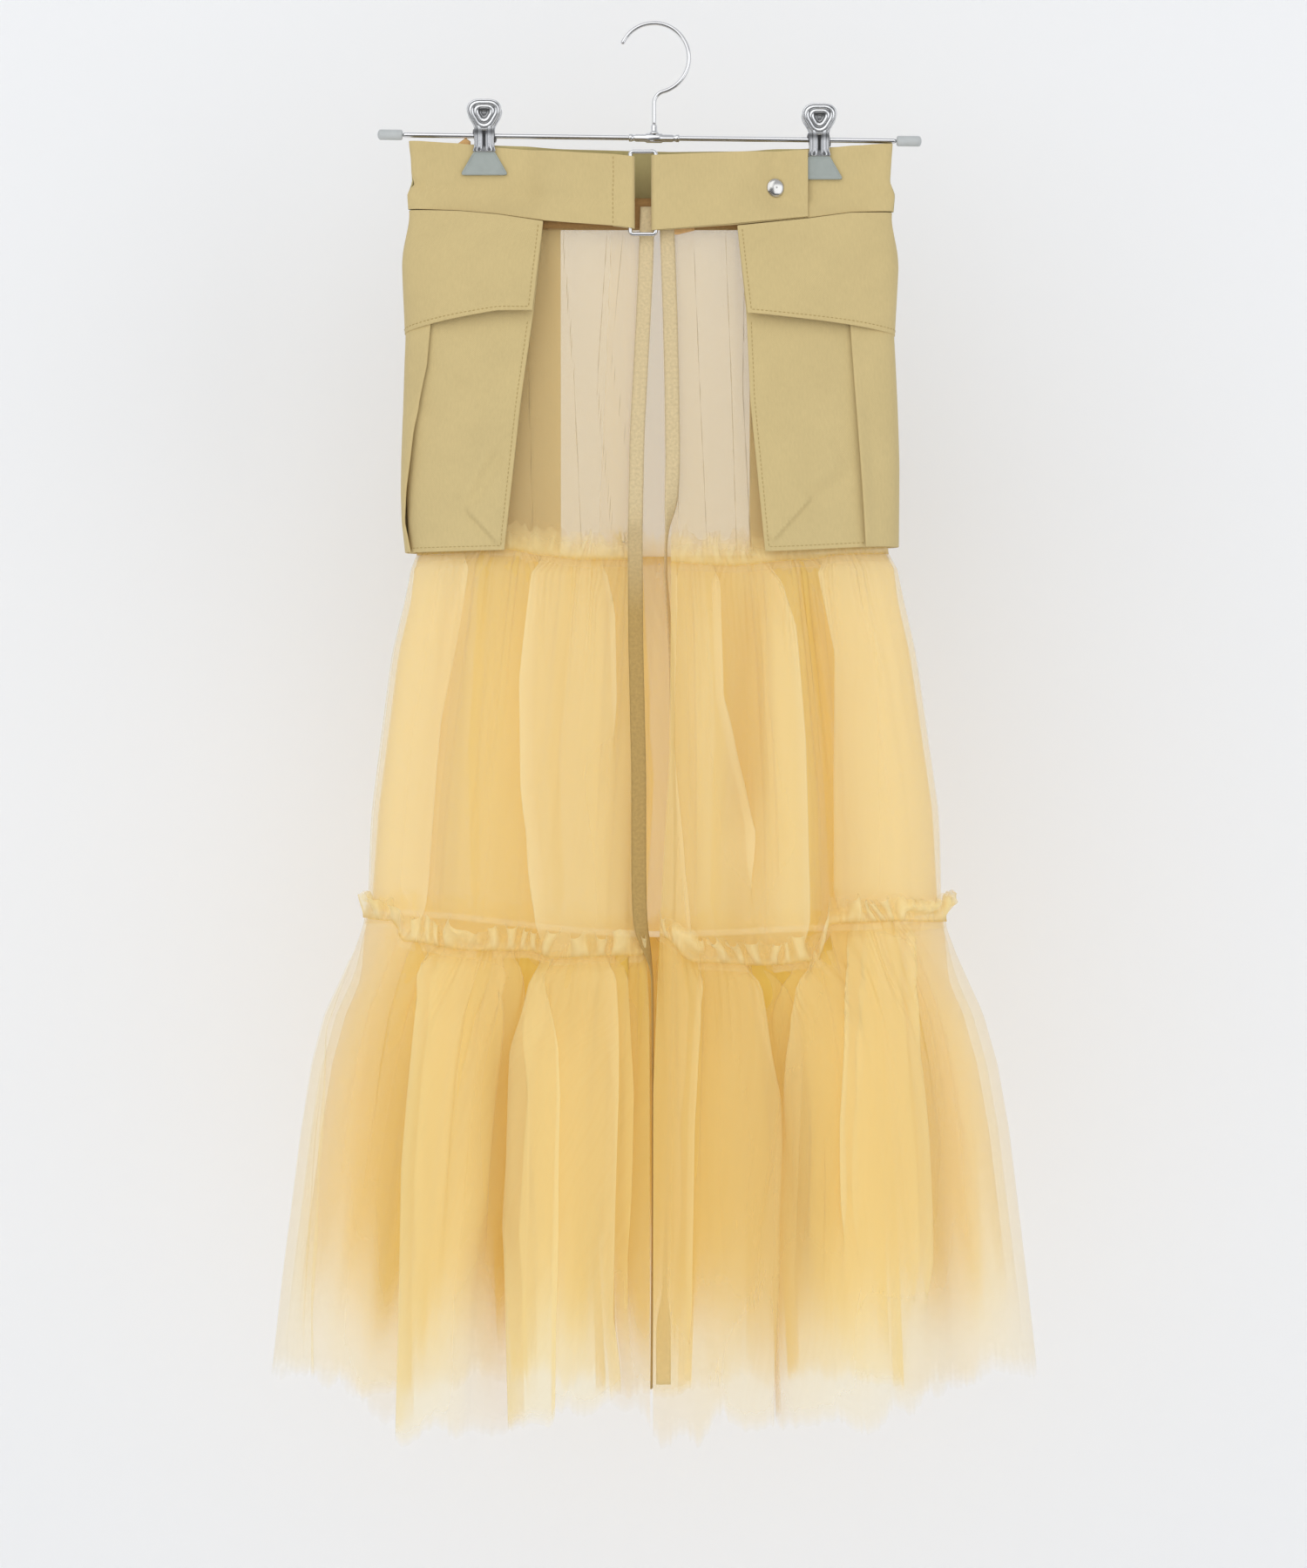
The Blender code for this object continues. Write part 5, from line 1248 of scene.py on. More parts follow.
BAG_WRINKLES = (
    Wrinkle((-0.133, -0.246), (-0.160, -0.272), 0.0140, -0.0018),
    Wrinkle((-0.104, -0.236), (-0.150, -0.262), 0.0110, 0.0014),
    Wrinkle((-0.112, -0.290), (-0.131, -0.326), 0.0050, 0.0016),
    Wrinkle((-0.106, -0.296), (-0.124, -0.330), 0.0050, -0.0014),
    Wrinkle((-0.140, -0.300), (-0.146, -0.340), 0.0120, -0.0012),
    Wrinkle((0.083, -0.245), (0.120, -0.256), 0.0140, -0.0012),
    Wrinkle((0.120, -0.290), (0.088, -0.300), 0.0080, 0.0010),
    Wrinkle((0.105, -0.318), (0.125, -0.300), 0.0060, 0.0014),
    Wrinkle((0.108, -0.330), (0.132, -0.312), 0.0060, -0.0012),
)
FLAP_WRINKLES = (
    Wrinkle((-0.160, -0.160), (-0.120, -0.150), 0.0120, 0.0008),
    Wrinkle((-0.098, -0.160), (-0.106, -0.190), 0.0100, -0.0008),
    Wrinkle((0.070, -0.150), (0.074, -0.185), 0.0080, 0.0008),
    Wrinkle((0.110, -0.150), (0.150, -0.168), 0.0120, -0.0010),
)


@dataclass(frozen=True)
class BandEdges:
    """A band's upper and lower edge by place across: x, top z, bottom z."""

    rows: tuple[tuple[float, float, float], ...]

    def at(self, x: Array) -> tuple[Array, Array]:
        """The two heights at each place."""
        table = np.array(self.rows)
        return np.interp(x, table[:, 0], table[:, 1]), np.interp(x, table[:, 0], table[:, 2])


LEFT_BAND = BandEdges((
    (-0.1700, -0.0798, -0.1268), (-0.1344, -0.0816, -0.1284), (-0.1080, -0.0846, -0.1310),
    (-0.0768, -0.0872, -0.1358), (-0.0270, -0.0912, -0.1402), (-0.0144, -0.0928, -0.1420),
))
RIGHT_BAND = BandEdges((
    (0.0000, -0.0925, -0.1430), (0.0552, -0.0895, -0.1390), (0.1050, -0.0860, -0.1338),
    (0.1338, -0.0832, -0.1296), (0.1650, -0.0816, -0.1284),
))
STRAP_BAND = BandEdges((
    (-0.0040, -0.0918, -0.1434), (0.0516, -0.0890, -0.1386), (0.1050, -0.0864, -0.1332),
))
BACK_BAND = BandEdges((
    (-0.1700, -0.0798, -0.1268), (-0.1080, -0.0828, -0.1300), (0.0100, -0.0858, -0.1340),
    (0.1000, -0.0850, -0.1310), (0.1650, -0.0816, -0.1284),
))


def crowded(start: float, end: float, count: int) -> Array:
    """Girths from a place to a side, closer together at the side where the cloth turns."""
    share = np.linspace(0.0, 1.0, count)
    return start + (end - start) * (share + 0.6 * (np.sin(share * math.pi / 2) - share))


def stitches(name: str, path: Array, outwards: Array, pitch: float = 0.0030,
             radius: float = 0.00026) -> bpy.types.Object:
    """A row of topstitches: each a short thread, humped over the cloth and pulled in at its ends.

    Args:
        name: name of the piece.
        path: points of the stitch line on the cloth's face.
        outwards: the cloth's outward direction at each point.
        pitch: length of a stitch and its gap.
        radius: half the thread's thickness.

    Returns:
        All the stitches as one piece.
    """
    steps = np.linalg.norm(np.diff(path, axis=0), axis=1)
    run = np.concatenate([[0.0], np.cumsum(steps)])
    count = max(int(run[-1] / pitch), 1)
    stations, sides = 5, 5
    share = np.linspace(0.0, 1.0, stations)
    where = (np.arange(count)[:, None] + 0.11 + 0.78 * share[None, :]) * run[-1] / count
    middle = np.stack([np.interp(where, run, path[:, axis]) for axis in range(3)], axis=-1)
    out = np.stack([np.interp(where, run, outwards[:, axis]) for axis in range(3)], axis=-1)
    out /= np.linalg.norm(out, axis=-1, keepdims=True)
    hump = np.sin(math.pi * share)
    middle = middle + out * (radius * (-0.9 + 1.4 * hump))[None, :, None]
    ahead = np.gradient(middle, axis=1)
    ahead /= np.linalg.norm(ahead, axis=-1, keepdims=True)
    beside = np.cross(ahead, out)
    thick = radius * np.maximum(hump, 0.25) ** 0.5
    angle = np.linspace(0.0, 2.0 * math.pi, sides, endpoint=False)
    ring = (beside[..., None, :] * np.cos(angle)[:, None] + out[..., None, :] * np.sin(angle)[:, None])
    points = (middle[..., None, :] + ring * thick[None, :, None, None]).reshape(-1, 3)
    one = np.arange(stations - 1)[:, None] * sides + np.arange(sides)
    next_one = np.arange(stations - 1)[:, None] * sides + (np.arange(sides) + 1) % sides
    quads = np.stack([one, next_one, next_one + sides, one + sides], axis=-1).reshape(-1, 4)
    quads = (quads[None] + (np.arange(count) * stations * sides)[:, None, None]).reshape(-1, 4)
    return soup_mesh(name, points, quads)


def facing(points: Array) -> Array:
    """The outward direction at each point of a grid: the cross of its steps down and across."""
    across = np.gradient(points, axis=1)
    down = np.gradient(points, axis=0)
    normal = np.cross(down, across)
    return normal / np.maximum(np.linalg.norm(normal, axis=-1, keepdims=True), 1e-12)


def stitch_line(points: Array, wall: float, rows: Array, columns: Array) -> tuple[Array, Array]:
    """Picks a stitch line off the face of a walled grid.

    Args:
        points: the grid of the cloth's middle surface.
        wall: the cloth's thickness.
        rows: fractional rows of the line's places.
        columns: their fractional columns.

    Returns:
        Points just over the face, and the outward directions there.
    """
    row = np.clip(np.floor(rows).astype(int), 0, len(points) - 2)
    column = np.clip(np.floor(columns).astype(int), 0, points.shape[1] - 2)
    down, across = (rows - row)[:, None], (columns - column)[:, None]

    def between(field: Array) -> Array:
        """A field of the grid at the places, between its four neighbours."""
        upper = field[row, column] * (1 - across) + field[row, column + 1] * across
        lower = field[row + 1, column] * (1 - across) + field[row + 1, column + 1] * across
        return upper * (1 - down) + lower * down

    out = facing(points)
    return between(points + out * (wall / 2 + 0.00008)), between(out)


@dataclass
class Belt:
    """The cargo belt's waistband in four lengths, its ring and its snap; its pockets are each made by a
    Pocket.
    """

    cloth: float = 0.0012
    depth: float = 0.0145  # of the ring in front of the middle of the waist
    wire: float = 0.0015
    bars: tuple[float, float] = (-0.0171, 0.0003)
    ring_top: float = -0.0892
    ring_bottom: float = -0.1458
    blend: float = 0.050
    pinched: float = 0.00165
    fold_back: float = -0.0290
    strap_end: float = 0.1050
    settles: float = 0.055
    snap: tuple[float, float] = (0.0822, -0.1116)
    pad_face: float = 0.00595  # of the clip's pad, where the strap's end lies on it

    def __post_init__(self) -> None:
        """Works out the turn round the ring's bars and the girth of the side seams."""
        self.clips = Clips()
        self.turn = self.wire + 0.0004 + self.cloth / 2
        self.edge = 1.0 - 0.0006 * BELT.flatness / BELT.sizes(np.array(BACK_BAND.rows[0][1]))[2]

    def on_band(self, girth: Array, z: Array) -> Array:
        """Points of the waistband's middle, pinched by the clips."""
        points = BELT.place(girth, z)
        squeeze = self.clips.squeeze(points[..., 0], z)
        depth = np.abs(points[..., 1])
        points[..., 1] = np.sign(points[..., 1]) * (depth + (self.pinched - depth) * squeeze)
        return points

    def band(self, edges: BandEdges, girths: Array, end: tuple[float, float] | None,
             rows: int = 20) -> Array:
        """A length of waistband along the tube, blended at one end to the ring's place."""
        place = self.on_band(girths, np.full(girths.shape, -0.10))[:, 0]
        top, bottom = edges.at(place)
        z = top + (bottom - top) * np.linspace(0.0, 1.0, rows)[:, None]
        points = self.on_band(girths + 0.0 * z, z)
        if end is not None:
            near = smooth_step(1.0 - np.abs(end[0] - place) / self.blend)
            points[..., 1] += (end[1] - points[..., 1]) * near
        return points

    def standing(self, edges: BandEdges, x: Array, y: Array, rows: int = 20) -> Array:
        """Upright columns of a band at given places."""
        top, bottom = edges.at(x)
        z = top + (bottom - top) * np.linspace(0.0, 1.0, rows)[:, None]
        return np.stack([x + 0.0 * z, y + 0.0 * z, z], axis=-1)

    def round_bar(self, bar: float, start: float, end: float, count: int = 16) -> tuple[Array, Array]:
        """Places round a bar of the ring, by angle from the front in degrees."""
        angle = np.radians(np.linspace(start, end, count))
        return bar + self.turn * np.sin(angle), -self.depth - self.turn * np.cos(angle)

    def strap_y(self, x: Array, z: Array) -> Array:
        """How deep the strap's end lies: over the right band, and over the clip's pad at its end."""
        loose = smooth_step((self.settles - x) / (self.settles - self.bars[1]))
        under = self.on_band(BELT.girth_at(z, np.maximum(x, 0.0)), z)[..., 1]
        near = smooth_step(1.0 - np.abs(self.bars[1] - x) / self.blend)
        under = under + (-self.depth + self.turn - under) * near
        lying = under - self.cloth - 0.0007
        beside = np.clip((self.clips.right - 0.0166 - x) / 0.010, 0.0, 1.0)
        lying = np.minimum(lying, -self.pad_face * (1.0 - beside) + lying * beside)
        return lying + (-self.depth - self.turn - lying) * loose

    def crease(self, points: Array, wrinkles: Sequence[Wrinkle]) -> Array:
        """Moves a grid out by wrinkles given by place on the belt's front."""
        push = wrinkled(wrinkles, points[..., 0], points[..., 2])
        return points + facing(points) * push[..., None]

    def finish_band(self, shop: Workshop, name: str, points: Array,
                    finish: TwillFinish = TWILL) -> None:
        """Makes a length of band, which stands for the solid of its name."""
        shop.sheet(f"{name}_length", points, finish, [name], wall=self.cloth, rim=0.00035)

    def build_bands(self, shop: Workshop) -> Array:
        """Makes the four lengths; returns the strap end's grid, which the snap sits on."""
        front, behind = -self.depth - self.turn, -self.depth + self.turn
        girths = -crowded(0.13, self.edge, 100)[::-1]
        length = self.crease(self.band(LEFT_BAND, girths, (self.bars[0], front)), BAND_WRINKLES)
        end = self.standing(LEFT_BAND, *self.round_bar(self.bars[0], 0.0, 180.0))
        back = np.linspace(self.bars[0] - 0.001, self.fold_back, 8)
        end = np.concatenate([end, self.standing(LEFT_BAND, back, np.full(8, behind))], axis=1)
        left = np.concatenate([length, end], axis=1)
        self.finish_band(shop, "waistband_left", left)
        column = int(np.argmin(np.abs(left[10, :100, 0] + 0.0285)))
        line = stitch_line(left, self.cloth, np.linspace(0.4, 18.6, 60), np.full(60, float(column)))
        shop.dress(stitches("waistband_left_stitches", *line), THREAD)
        girths = crowded(0.028, self.edge, 110)
        length = self.band(RIGHT_BAND, girths, (self.bars[1], behind))
        start = self.standing(RIGHT_BAND, np.array([self.bars[1] + 0.0006]), np.array([behind]))
        right = self.crease(np.concatenate([start, length], axis=1), BAND_WRINKLES)
        self.finish_band(shop, "waistband_right", right)
        turn = self.standing(STRAP_BAND, *self.round_bar(self.bars[1], -180.0, 0.0))
        flat = self.standing(STRAP_BAND, np.linspace(0.0016, self.strap_end, 70), np.zeros(70))
        flat[..., 1] = self.strap_y(flat[..., 0], flat[..., 2])
        flat = self.crease(flat, STRAP_WRINKLES)
        self.finish_band(shop, "strap_end", np.concatenate([turn, flat], axis=1))
        half = crowded(2.0, 2.0 - self.edge, 90)
        girths = np.concatenate([half[::-1], 4.0 - half[1:]])
        back_band = self.band(BACK_BAND, girths, None)
        soft = 0.0007 * uneven(girths[None, :], back_band[..., 2] * 4.0, 71, fine=3.0, tall=2.0)
        back_band = back_band + facing(back_band) * soft[..., None]
        # the back length takes the darker twill, as painted shade
        self.finish_band(shop, "waistband_back", back_band, SHADED_TWILL)
        return flat

    def build_ring(self, shop: Workshop) -> None:
        """The wire ring, a closed rounded rectangle."""
        left, right = self.bars
        corner = 0.0022
        places = []
        for x, z, first in ((right - corner, self.ring_top - corner, 90.0),
                            (right - corner, self.ring_bottom + corner, 0.0),
                            (left + corner, self.ring_bottom + corner, -90.0),
                            (left + corner, self.ring_top - corner, 180.0)):
            angle = np.radians(np.linspace(first, first - 90.0, 10))
            places.append(np.stack([x + corner * np.cos(angle), np.full(10, -self.depth),
                                    z + corner * np.sin(angle)], axis=-1))
        ring = wire_piece("ring_buckle_wire", np.concatenate(places), self.wire, closed=True)
        shop.dress(ring, STEEL, "ring_buckle")

    def build_snap(self, shop: Workshop, strap: Array) -> None:
        """The snap's cap on the strap's end: a shallow dome with a rolled rim, square to the cloth."""
        x, z = self.snap
        column = int(np.argmin(np.abs(strap[10, :, 0] - x)))
        row = int(np.argmin(np.abs(strap[:, column, 2] - z)))
        out = Vector(facing(strap)[row, column])
        seat = Vector(strap[row, column]) + out * (self.cloth / 2 + 0.0006)
        angle = np.linspace(0.0, math.pi / 2, 12)
        dome = [(0.0056 * math.sin(a), 0.0010 + 0.0012 * math.cos(a)) for a in angle]
        rim = [(0.0060, 0.0009), (0.0063, 0.0006), (0.0064, 0.0002), (0.0062, 0.0), (0.0, 0.0)]
        where = Matrix.Translation(seat) @ out.to_track_quat("Z", "Y").to_matrix().to_4x4()
        shop.dress(lathe("snap_cap_dome", dome + rim, where, 48), SNAP_STEEL, "snap_cap")


@dataclass(frozen=True)
class PocketSizes:
    """One side's panel: edges by height, and the heights of the flap's and the panel's lower edge."""

    rows: tuple[tuple[float, float, float, float, float], ...]  # z, front, pleat x2, back
    bottom: tuple[float, float]  # at the front edge, at the side
    flap: tuple[float, float]
    flap_reach: float  # girth over which the flap's lower edge rises from the side
    dart: tuple[tuple[float, float], tuple[float, float]]  # x, z of the dart's two ends


POCKETS = {
    Side.LEFT: PocketSizes(
        ((-0.365, -0.1034, -0.1640, -0.1400, -0.0654), (-0.343, -0.1010, -0.1666, -0.1406, -0.0654),
         (-0.320, -0.0985, -0.1657, -0.1410, -0.0654), (-0.283, -0.0945, -0.1625, -0.1416, -0.0654),
         (-0.260, -0.0920, -0.1596, -0.1420, -0.0654), (-0.236, -0.0886, -0.1549, -0.1430, -0.0654),
         (-0.199, -0.0834, -0.1520, -0.1440, -0.0654), (-0.130, -0.0762, -0.1500, -0.1450, -0.0654)),
        (-0.3622, -0.3636), (-0.1990, -0.2140), 0.38, ((-0.1075, -0.3580), (-0.1296, -0.3340))),
    Side.RIGHT: PocketSizes(
        ((-0.365, 0.0752, 0.1430, 0.1420, 0.0654), (-0.260, 0.0650, 0.1360, 0.1410, 0.0654),
         (-0.199, 0.0624, 0.1320, 0.1400, 0.0654), (-0.130, 0.0552, 0.1310, 0.1400, 0.0654)),
        (-0.3636, -0.3596), (-0.2010, -0.2150), 0.60, ((0.0805, -0.3560), (0.1068, -0.3270))),
}


@dataclass(frozen=True)
class Pocket:
    """A side's base panel, bag, box pleat and flap, each on the one before it."""

    side: Side
    sizes: PocketSizes
    cloth: float = 0.0012
    lay: float = 0.0016
    pocket_top: float = -0.172
    puff: float = 0.0014
    lift: float = 0.0004
    lip: float = 0.0024  # how far the pleat's front edge gapes
    inset: float = 0.0030  # of a topstitch line from its edge

    def edge(self, column: int, back: bool) -> Line:
        """A panel's upright edge: its girth by height."""
        table = np.array(self.sizes.rows)
        return lambda z: BELT.girth_at(z, np.interp(z, table[:, 0], table[:, column]), back)

    def under_band(self, girth: Array) -> Array:
        """The height just under the waistband."""
        x = BELT.place(girth, -0.13 + 0.0 * girth)[..., 0]
        turn = np.abs(wrapped(girth))
        front = (LEFT_BAND if self.side is Side.LEFT else RIGHT_BAND).at(x)[1]
        return np.where(turn < 1.0, front, BACK_BAND.at(x)[1]) - 0.0008

    def sagging(self, heights: tuple[float, float]) -> Line:
        """An edge from its heights at the front edge and at the side."""
        def z(girth: Array) -> Array:
            """The height at each girth."""
            turn = np.abs(wrapped(girth))
            return heights[1] + (heights[0] - heights[1]) * smooth_step(np.abs(turn - 1.0) / 0.6)
        return z

    def flap_end(self, girth: Array) -> Array:
        """The flap's lower edge: it rises from the side as (distance over reach)^0.7."""
        turn = np.abs(wrapped(girth))
        share = np.clip(np.abs(turn - 1.0) / self.sizes.flap_reach, 0.0, 1.0) ** 0.7
        return self.sizes.flap[1] + (self.sizes.flap[0] - self.sizes.flap[1]) * share

    def dart(self, x: Array, z: Array) -> Array:
        """A sewn dart: the cloth steps up across its line and slopes off beyond it."""
        start, end = np.array(self.sizes.dart)
        run = end - start
        length = float(np.hypot(*run))
        along = ((x - start[0]) * run[0] + (z - start[1]) * run[1]) / length
        away = -self.side.sign * ((x - start[0]) * run[1] - (z - start[1]) * run[0]) / length
        ends = smooth_step(along / 0.004 + 0.5) * smooth_step((length - along) / 0.006 + 0.3)
        return 0.0024 * ends * smooth_step(away / 0.0014 + 0.5) * np.exp(-np.maximum(away, 0.0) / 0.009)

    def patch(self, top: Line, bottom: Line, edges: Sequence[Line], counts: Sequence[int],
              rows: int) -> tuple[Array, Array, Array]:
        """Girths, heights and share of the way down of a grid between two lines and several edges."""
        down = np.linspace(0.0, 1.0, rows)[:, None]
        shares = [np.linspace(0.0, 1.0, count + 1)[:-1] for count in counts]
        z = -0.25 + 0.0 * down * np.zeros(sum(counts) + 1)
        for _ in range(5):
            parts, start = [], 0
            for edge, following, share in zip(edges, edges[1:], shares):
                here = z[:, start:start + len(share)]
                parts.append(edge(here) + (following(here) - edge(here)) * share)
                start += len(share)
            parts.append(edges[-1](z[:, -1:]))
            girth = np.concatenate(parts, axis=1)
            z = top(girth) + (bottom(girth) - top(girth)) * down
        return girth, z, down + 0.0 * z

    def bag_out(self, girth: Array, z: Array) -> Array:
        """How far the bag stands off the tube: it puffs in its middle and creases at its dart."""
        front, back = self.edge(1, False), self.edge(4, True)
        across = np.clip((girth - front(z)) / (back(z) - front(z)), 0.0, 1.0)
        down = np.clip((self.pocket_top - z) / (self.pocket_top - self.sizes.bottom[1]), 0.0, 1.0)
        puff = self.puff * np.sqrt(np.sin(math.pi * across)) * np.sin(math.pi * down)
        x = BELT.place(girth, z)[..., 0]
        face = np.abs(wrapped(girth)) < 1.0
        creases = wrinkled(BAG_WRINKLES, x, z) * smooth_step(across / 0.06) + self.dart(x, z)
        return self.lay + puff + np.where(face, creases, 0.0)

    def make(self, shop: Workshop, name: str, girth: Array, z: Array, out: Array,
             wall: float = 0.0012) -> Array:
        """Makes one layer of the pocket and returns its grid, whose columns face it outwards."""
        points, whole = BELT.place(girth, z, out), f"{name}_{self.side.value}"
        if self.side is Side.LEFT:
            points = points[:, ::-1]
        shop.sheet(f"{whole}_cloth", points, TWILL, [whole], wall=wall, rim=0.0004)
        return points

    def build(self, shop: Workshop) -> None:
        """Makes the four layers and their topstitching."""
        front, back = self.edge(1, False), self.edge(4, True)
        pleat = (self.edge(2, False), self.edge(3, True))
        whole = (front, *pleat, back)
        counts = (80, 36, 20)
        pocket_top = level(self.pocket_top)
        bottom = self.sagging(self.sizes.bottom)

        girth, z, _ = self.patch(self.under_band, bottom, whole, (36, 28, 18), 26)
        tuck = -0.0012 * (1.0 - smooth_step((self.under_band(girth) - z) / 0.030))
        self.make(shop, "base_panel", girth, z, tuck)

        girth, z, _ = self.patch(pocket_top, bottom, whole, counts, 92)
        bag = self.make(shop, "pocket_bag", girth, z, self.bag_out(girth, z))
        self.topstitch(shop, "pocket_bag", bag, 16.0)

        girth, z, _ = self.patch(pocket_top, bottom, pleat, (40,), 60)
        lip = (0.0009 + self.lip * bell(z + 0.312, 0.055)) * bell(girth - pleat[0](z), 0.035)
        out = self.bag_out(girth, z) + self.lay + self.lift + lip
        self.make(shop, "box_pleat", girth, z, out)

        girth, z, down = self.patch(self.under_band, self.flap_end, whole, counts, 38)
        drop = self.under_band(girth) - z
        out = -0.0012 * (1.0 - smooth_step(drop / 0.030)) + self.lay + self.lift
        out = out + smooth_step(drop / 0.040) * (2 * self.lay + self.lift + self.puff)
        side = bell(np.abs(wrapped(girth)) - 1.0, 0.16)
        out = out + (0.0034 - 0.0040 * side) * smooth_step((down - 0.45) / 0.55) - 0.0016 * side
        x = BELT.place(girth, z)[..., 0]
        face = np.abs(wrapped(girth)) < 1.0
        out = out + np.where(face, wrinkled(FLAP_WRINKLES, x, z), 0.0)
        flap = self.make(shop, "flap", girth, z, out, 0.0016)
        self.topstitch(shop, "flap", flap, 1.5, 0.0016)

    def topstitch(self, shop: Workshop, name: str, points: Array, first_row: float,
                  wall: float = 0.0012) -> None:
        """Sews along a layer's front edge, lower edge and free back edge, `inset` in from each.

        Args:
            shop: dresses the thread.
            name: the layer.
            points: its grid.
            first_row: row of the grid where the upright lines start.
            wall: the layer's thickness.
        """
        rows, columns = points.shape[:2]
        run = cloth_run(points)
        width, length = run[rows // 2, :, 0], run[:, columns // 2, 1]
        first, last = np.interp([self.inset, width[-1] - self.inset], width, np.arange(columns))
        foot = np.interp(length[-1] - self.inset, length, np.arange(rows))
        upright, across = np.linspace(first_row, foot, 80), np.linspace(first, last, 260)
        lines = ((upright, np.full(80, first)), (upright, np.full(80, last)),
                 (np.full(260, foot), across))
        for index, line in enumerate(lines):
            thread = stitches(f"{name}_{self.side.value}_stitches_{index}",
                              *stitch_line(points, wall, *line))
            shop.dress(thread, THREAD)


